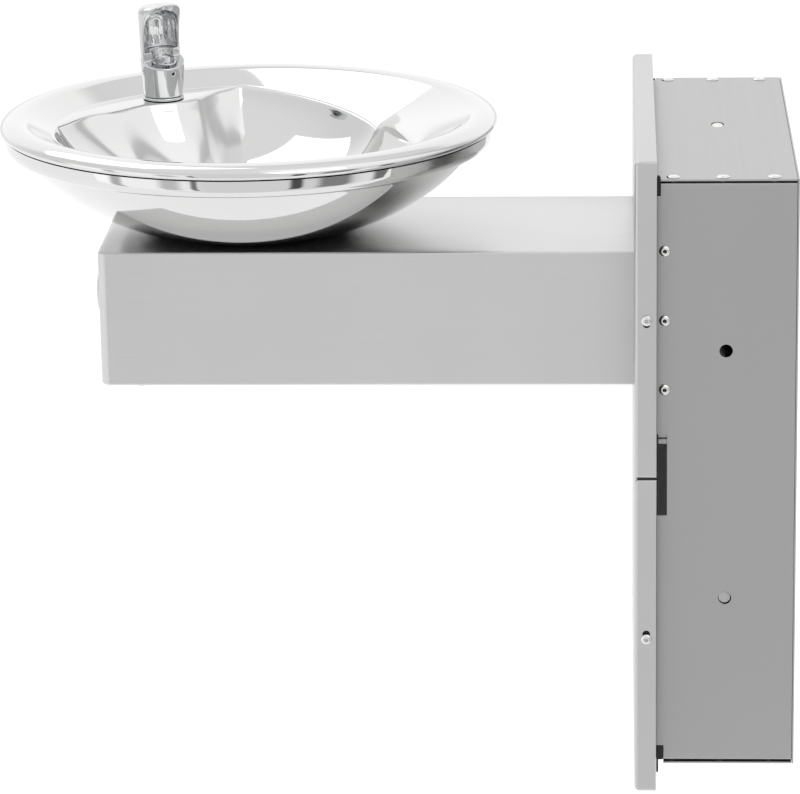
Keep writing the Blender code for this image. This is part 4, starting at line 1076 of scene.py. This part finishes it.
def surface_of(field, low, high, cell):
    """Points and quads of a field's zero surface, found on a grid and then moved onto the field."""
    axes = [np.arange(a, b + cell, cell) for a, b in zip(low, high)]
    grid = np.stack(np.meshgrid(*axes, indexing="ij"), -1)
    values = field(grid)
    inside = values < 0
    shape = np.array(values.shape) - 1
    total = np.zeros(tuple(shape) + (3,))
    count = np.zeros(tuple(shape))
    offsets = [(i, j, k) for i in (0, 1) for j in (0, 1) for k in (0, 1)]
    for a in offsets:
        for axis in range(3):
            if a[axis]:
                continue
            b = tuple(v + (1 if i == axis else 0) for i, v in enumerate(a))
            va = values[tuple(slice(o, o + s) for o, s in zip(a, shape))]
            vb = values[tuple(slice(o, o + s) for o, s in zip(b, shape))]
            crossing = (va < 0) != (vb < 0)
            share = np.where(crossing, va / np.where(va == vb, 1, va - vb), 0)
            point = np.zeros(tuple(shape) + (3,))
            for i in range(3):
                point[..., i] = a[i] + (share if i == axis else 0)
            total += point * crossing[..., None]
            count += crossing
    used = count > 0
    index = np.full(used.shape, -1)
    index[used] = np.arange(used.sum())
    cells = np.argwhere(used)
    points = (cells + total[used] / count[used][:, None]) * cell + np.array([a[0] for a in axes])
    faces = []
    for axis in range(3):
        b = [0, 0, 0]
        b[axis] = 1
        first = inside[:-1 if b[0] else None, :-1 if b[1] else None, :-1 if b[2] else None]
        second = inside[b[0]:, b[1]:, b[2]:]
        edges = np.argwhere(first != second)
        u, v = [i for i in range(3) if i != axis]
        keep = (edges[:, u] > 0) & (edges[:, v] > 0) & (edges[:, u] < shape[u]) & (edges[:, v] < shape[v])
        edges = edges[keep]
        corners = []
        for du, dv in ((0, 0), (1, 0), (1, 1), (0, 1)):
            where = edges.copy()
            where[:, u] -= du
            where[:, v] -= dv
            corners.append(index[tuple(where.T)])
        faces.append(np.stack(corners, -1))
    faces = np.concatenate(faces)
    step = 0.02
    for _ in range(4):
        value = field(points)
        gradient = np.stack([
            (field(points + np.eye(3)[i] * step) - field(points - np.eye(3)[i] * step)) / (2 * step)
            for i in range(3)
        ], -1)
        size = np.maximum((gradient ** 2).sum(-1), 0.05)
        move = np.clip(value / size, -0.3, 0.3)
        points = points - gradient * move[:, None]
    return points, faces


def bubbler():
    """A chromed casting: a round body, a tilted nozzle and a hood, open towards the basin's middle."""
    points, faces = surface_of(casting, (-20, -20, 0), (20, 20, 80), 0.6)
    inwards = (BOWL_CENTRE - BUBBLER_PLACE).normalized()
    turn = Matrix.Rotation(math.atan2(inwards.y, inwards.x), 4, "Z")
    place = Matrix.Translation(BUBBLER_PLACE + Vector((0, 0, FLANGE_HEIGHT))) @ turn
    moved = [place @ (Vector(p) * MM) for p in points]
    piece("bubbler_casting", moved, faces.tolist(), CHROME, ["bubbler"], smooth_angle=70)
    # The set screw is dark steel, drawn near-black for the shade in its hole as well.
    turned("bubbler_set_screw", puck(1.3 * MM, 15.5 * MM, 15.9 * MM), DARK_STEEL_AND_SHADE,
           place @ towards((1, 0, 0), (0, 0, 21.3 * MM)), radius=0.1 * MM, segments=24)
    axis = Matrix.Translation(BUBBLER_PLACE)
    turned("bubbler_shank", puck(6.2 * MM, SHANK_END, 226.6 * MM), CHROME, axis)
    deck = FLANGE_HEIGHT - 0.4 * MM
    ring = [
        (6.8 * MM, deck + GAP), (16 * MM, deck + GAP), (16 * MM, deck + 1.4 * MM), (15.6 * MM, 225.7 * MM),
        (6.8 * MM, 225.7 * MM),
    ]
    turned("bubbler_base_ring_detail", ring, CHROME, axis, ["bubbler_base_ring"])


# Drain and waste

def hex_nut(name, across_flats, inner, low, high, place):
    """A hexagonal brass nut with chamfered corners and a round hole."""
    wide, narrow = across_flats * 0.5774, across_flats * 0.52
    chamfer = (high - low) * 0.18
    blank = loose(*turned_mesh([
        (inner, low), (narrow, low), (wide, low + chamfer), (wide, high - chamfer), (narrow, high),
        (inner, high),
    ], place))
    reach = across_flats / 2 / math.cos(math.pi / 6)
    turns = [math.radians(60 * i + 30) for i in range(6)]
    corners = [Vector((reach * math.cos(turn), reach * math.sin(turn), 0)) for turn in turns]
    prism = loose(*loft([
        [place @ (corner + Vector((0, 0, z))) for corner in corners] for z in (low - 1 * MM, high + 1 * MM)
    ]))
    mesh = carve(blank, [prism], "INTERSECT")
    soften(dress(name + "_detail", mesh, BRASS, [name]), 0.3 * MM, 2)


def ribbed_collar(name, outer, inner, low, high, place):
    """A slip nut with shallow ribs for grip."""
    ribs = 16
    segments = ribs * 8
    edge = 1.4 * MM
    rings = []
    for reach, height in ((inner, low), (outer - edge, low), (outer, low + edge), (outer, high - edge),
                          (outer - edge, high), (inner, high)):
        ring = []
        for i in range(segments):
            t = 2 * math.pi * i / segments
            radius = reach
            if reach == outer:
                radius -= 0.9 * MM * (0.5 - 0.5 * math.cos(ribs * t)) ** 3
            ring.append(place @ Vector((radius * math.cos(t), radius * math.sin(t), height)))
        rings.append(ring)
    points, faces = loft(rings, closed_along=True)
    piece(name + "_detail", points, faces, CHROME, [name], smooth_angle=40)


def crossbar(half_length, half_width, low, high):
    """A bar across the bowl's axis between two heights."""
    ends = [BOWL_CENTRE + Vector((sign * half_length, sign * half_width, height))
            for sign, height in ((-1, low), (1, high))]
    return cuboid(*zip(*ends))


def strainer(place):
    """The drilled strainer in the drain, and the slotted screw that holds it."""
    blank = [(0, STRAINER_SEAT), (21 * MM, STRAINER_SEAT), (19.5 * MM, STRAINER_SEAT + 1.2 * MM),
             (0, STRAINER_SEAT + 2 * MM)]
    path = rounded(blank, [0, 0.5 * MM, 1.5 * MM, 0], 4)
    seat = Vector((0, 0, STRAINER_SEAT))
    cutters = [rod(2.3 * MM, BOWL_CENTRE + seat, (0, 0, 1), 6 * MM, 32)]
    for number in range(8):
        turn = math.radians(45 * number)
        offset = Vector((math.cos(turn), math.sin(turn), 0)) * 11 * MM
        cutters.append(rod(2.4 * MM, BOWL_CENTRE + offset + seat, (0, 0, 1), 6 * MM, 32))
    mesh = carve(loose(*turned_mesh(path, place)), cutters)
    dress("drain_strainer_detail", mesh, CHROME, ["drain_strainer"])
    head = STRAINER_SEAT + 2 * MM + GAP
    screw = [
        (0, DRAIN_BAR - 6 * MM), (2 * MM, DRAIN_BAR - 6 * MM), (2 * MM, head), (4.2 * MM, head),
        (3.2 * MM, head + 1.8 * MM), (0, head + 2.2 * MM),
    ]
    driver_slot = crossbar(6 * MM, 0.5 * MM, head + 0.9 * MM, head + 4 * MM)
    mesh = carve(spun(screw, 0.4 * MM, place, 48), [driver_slot])
    dress("strainer_screw_detail", mesh, ZINC, ["strainer_screw"])


def drain():
    place = Matrix.Translation(BOWL_CENTRE)
    strainer(place)
    flange = DRAIN_HEIGHT + GAP
    profile = [
        (13.5 * MM, DRAIN_TAIL), (15.9 * MM, DRAIN_TAIL), (15.9 * MM, flange), (23 * MM, flange),
        (21.5 * MM, flange + 1.6 * MM), (13.5 * MM, flange + 1.6 * MM),
    ]
    bar = crossbar(14.5 * MM, 3.5 * MM, DRAIN_BAR - 2 * MM, DRAIN_BAR + 2 * MM)
    mesh = carve(spun(profile, 0.3 * MM, place), [bar], "UNION")
    dress("drain_body_detail", mesh, CHROME, ["drain_body"])
    under = DRAIN_HEIGHT - SHEET - GAP
    gasket = [(16.2 * MM, under - 2 * MM), (22 * MM, under - 2 * MM), (22 * MM, under), (16.2 * MM, under)]
    turned("drain_gasket_detail", gasket, RUBBER, place, ["drain_gasket"],
           radius=0.5 * MM)
    hex_nut("drain_locknut", 42 * MM, 16.2 * MM, under - 10 * MM, under - 2 * MM - GAP, place)
    hex_nut("bubbler_locknut", 18 * MM, 6.8 * MM, 212 * MM, FLANGE_HEIGHT - 0.4 * MM - SHEET - 1.2 * MM,
            Matrix.Translation(BUBBLER_PLACE))


def waste():
    """The slip nut under the drain, the tube into the box, the trap and the outlet to the wall."""
    joint = DRAIN_TAIL + 6 * MM
    turned("waste_slip_nut_detail", [
        (WASTE_TUBE + GAP, joint - 4 * MM), (23 * MM, joint - 4 * MM), (23 * MM, joint + 7 * MM),
        (16.3 * MM, joint + 7 * MM), (16.3 * MM, joint + GAP), (WASTE_TUBE + GAP, joint + GAP),
    ], CHROME, Matrix.Translation(BOWL_CENTRE), ["waste_slip_nut"], radius=0.8 * MM)
    y, inlet, outlet, x, low = -50 * MM, -60 * MM, -96 * MM, 72 * MM, -141 * MM
    waste_pipe("waste_tube", [
        BOWL_CENTRE + Vector((0, 0, joint)), BOWL_CENTRE + Vector((0, 0, WASTE_HEIGHT)),
        (0, y, WASTE_HEIGHT), (0, y, inlet),
    ], 34 * MM)
    waste_pipe("trap", [(0, y, inlet - GAP), (0, y, low), (x, y, low), (x, y, outlet)], x / 2 - 0.1 * MM)
    waste_pipe("waste_outlet", [(x, y, outlet + GAP), (x, y, -60 * MM), (x, -2 * MM, -60 * MM)], 22 * MM)
    for name, nut_x, level in (("trap_inlet_nut", 0, inlet), ("trap_outlet_nut", x, outlet)):
        ribbed_collar(name, 23 * MM, WASTE_TUBE + GAP, level - 8 * MM, level + 8 * MM, at(nut_x, y, 0))


# Push button and valve

def button():
    place = towards((0, 1, 0), BUTTON_POINT)
    proud = 10.5 * MM
    radius = 18.8 * MM
    cap = [
        (0, -proud + 0.9 * MM), (8 * MM, -proud + 0.55 * MM), (13.5 * MM, -proud),
        (17.2 * MM, -proud + 1.4 * MM), (radius, -proud + 4.2 * MM), (radius, 5 * MM), (17 * MM, 5 * MM),
        (17 * MM, -6 * MM), (5 * MM, -6 * MM), (5 * MM, 3 * MM), (0, 3 * MM),
    ]
    turned("push_button_cap", cap, CHROME, place, ["push_button"], body="button", radius=1.6 * MM)
    bezel = [
        (radius + 0.5 * MM, -4.5 * MM), (21.5 * MM, -5 * MM), (25.5 * MM, -3 * MM), (26 * MM, -GAP),
        (21.4 * MM, -GAP), (21.4 * MM, 14 * MM), (radius + 0.5 * MM, 14 * MM),
    ]
    turned("button_bezel_detail", bezel, CHROME, place, ["button_bezel"], radius=0.7 * MM)
    hex_nut("bezel_locknut", 50 * MM, 21.4 * MM + GAP, SHEET + GAP, 7.5 * MM, place)
    turns, wire, coil = 5, 0.6 * MM, 11 * MM
    low, high = -5.2 * MM, 14 * MM
    steps = turns * 40
    path = []
    for step in range(steps + 1):
        turn = 2 * math.pi * turns * step / steps
        point = Vector((coil * math.cos(turn), coil * math.sin(turn), low + (high - low) * step / steps))
        path.append(place @ point)
    tube("return_spring_wound", path, wire, 0, ZINC, ["return_spring"], sides=12)


# Supply

def supply():
    x, y = SUPPLY_X, -45 * MM
    low, high = -40 * MM, 12 * MM
    water_pipe("lower_supply_tube", [Vector((x, y, VALVE_OUTLET)), Vector((x, y, low - GAP))])
    turned("supply_strainer_detail", [
        (0, low), (5 * MM, low), (5 * MM, low + 6 * MM), (11 * MM, low + 10 * MM), (11 * MM, high - 10 * MM),
        (5 * MM, high - 6 * MM), (5 * MM, high), (0, high),
    ], WHITE_PLASTIC, at(x, y, 0), ["supply_strainer"], radius=1.2 * MM, segments=64)
    place = towards((0, 1, 0), BUTTON_POINT)
    inlet = place @ Vector((-30 * MM - GAP, 0, 52 * MM))
    upper = [(x, y, high + GAP), (x, y, inlet.z), (x, inlet.y, inlet.z), inlet]
    water_pipe("upper_supply_tube", bent_path(upper, 20 * MM))
    passage = BOWL_CENTRE + Vector((-39, -31, 0)) * MM
    outlet_end = place @ Vector((0, -26 * MM - GAP, 60 * MM))
    level = ARM_TOP - 12.8 * MM
    cavity = SHELL_BOTTOM + 13.2 * MM
    route = [
        outlet_end, (0, outlet_end.y, level), (*passage.xy, level), (*passage.xy, cavity),
        (*BUBBLER_PLACE.xy, cavity + 25 * MM), (*BUBBLER_PLACE.xy, SHANK_END - GAP),
    ]
    water_pipe("bubbler_tube", bent_path(route, 7 * MM, 8))


# The rails seen through the notches are painted near-black: painted shade.
RAILS_IN_PAINTED_SHADE = ("panel_rail_left", "panel_rail_right")
CARRIED_OVER = {
    "brushed_stainless": BRUSHED_ARM,
    "polished_stainless": MIRROR,
    "galvanised_sheet": GALVANISED,
    "chrome": CHROME,
    "zinc_fastener": ZINC,
    "brass": BRASS,
    "black_rubber": RUBBER,
    "white_plastic": WHITE_PLASTIC,
}


def carried_over():
    """The CAD nodes that stay get the finished materials, except the rails, which get the near-black painted
    shade.
    """
    slots = {part["node"]: part["material_slot"] for part in frame["record"]["subparts"]}
    for name, node in frame["nodes"].items():
        if node.hide_render:
            continue
        node.data.materials.clear()
        node.data.materials.append(DARK_STEEL_AND_SHADE if name in RAILS_IN_PAINTED_SHADE else CARRIED_OVER[slots[name]])
        node.data.shade_smooth()
        node.data.set_sharp_from_angle(angle=math.radians(32))


def main():
    camera()
    studio()
    box_sides()
    box_plates()
    rivets()
    panels()
    arm()
    basin()
    bowl_shell()
    bubbler()
    drain()
    waste()
    button()
    supply()
    carried_over()


main()
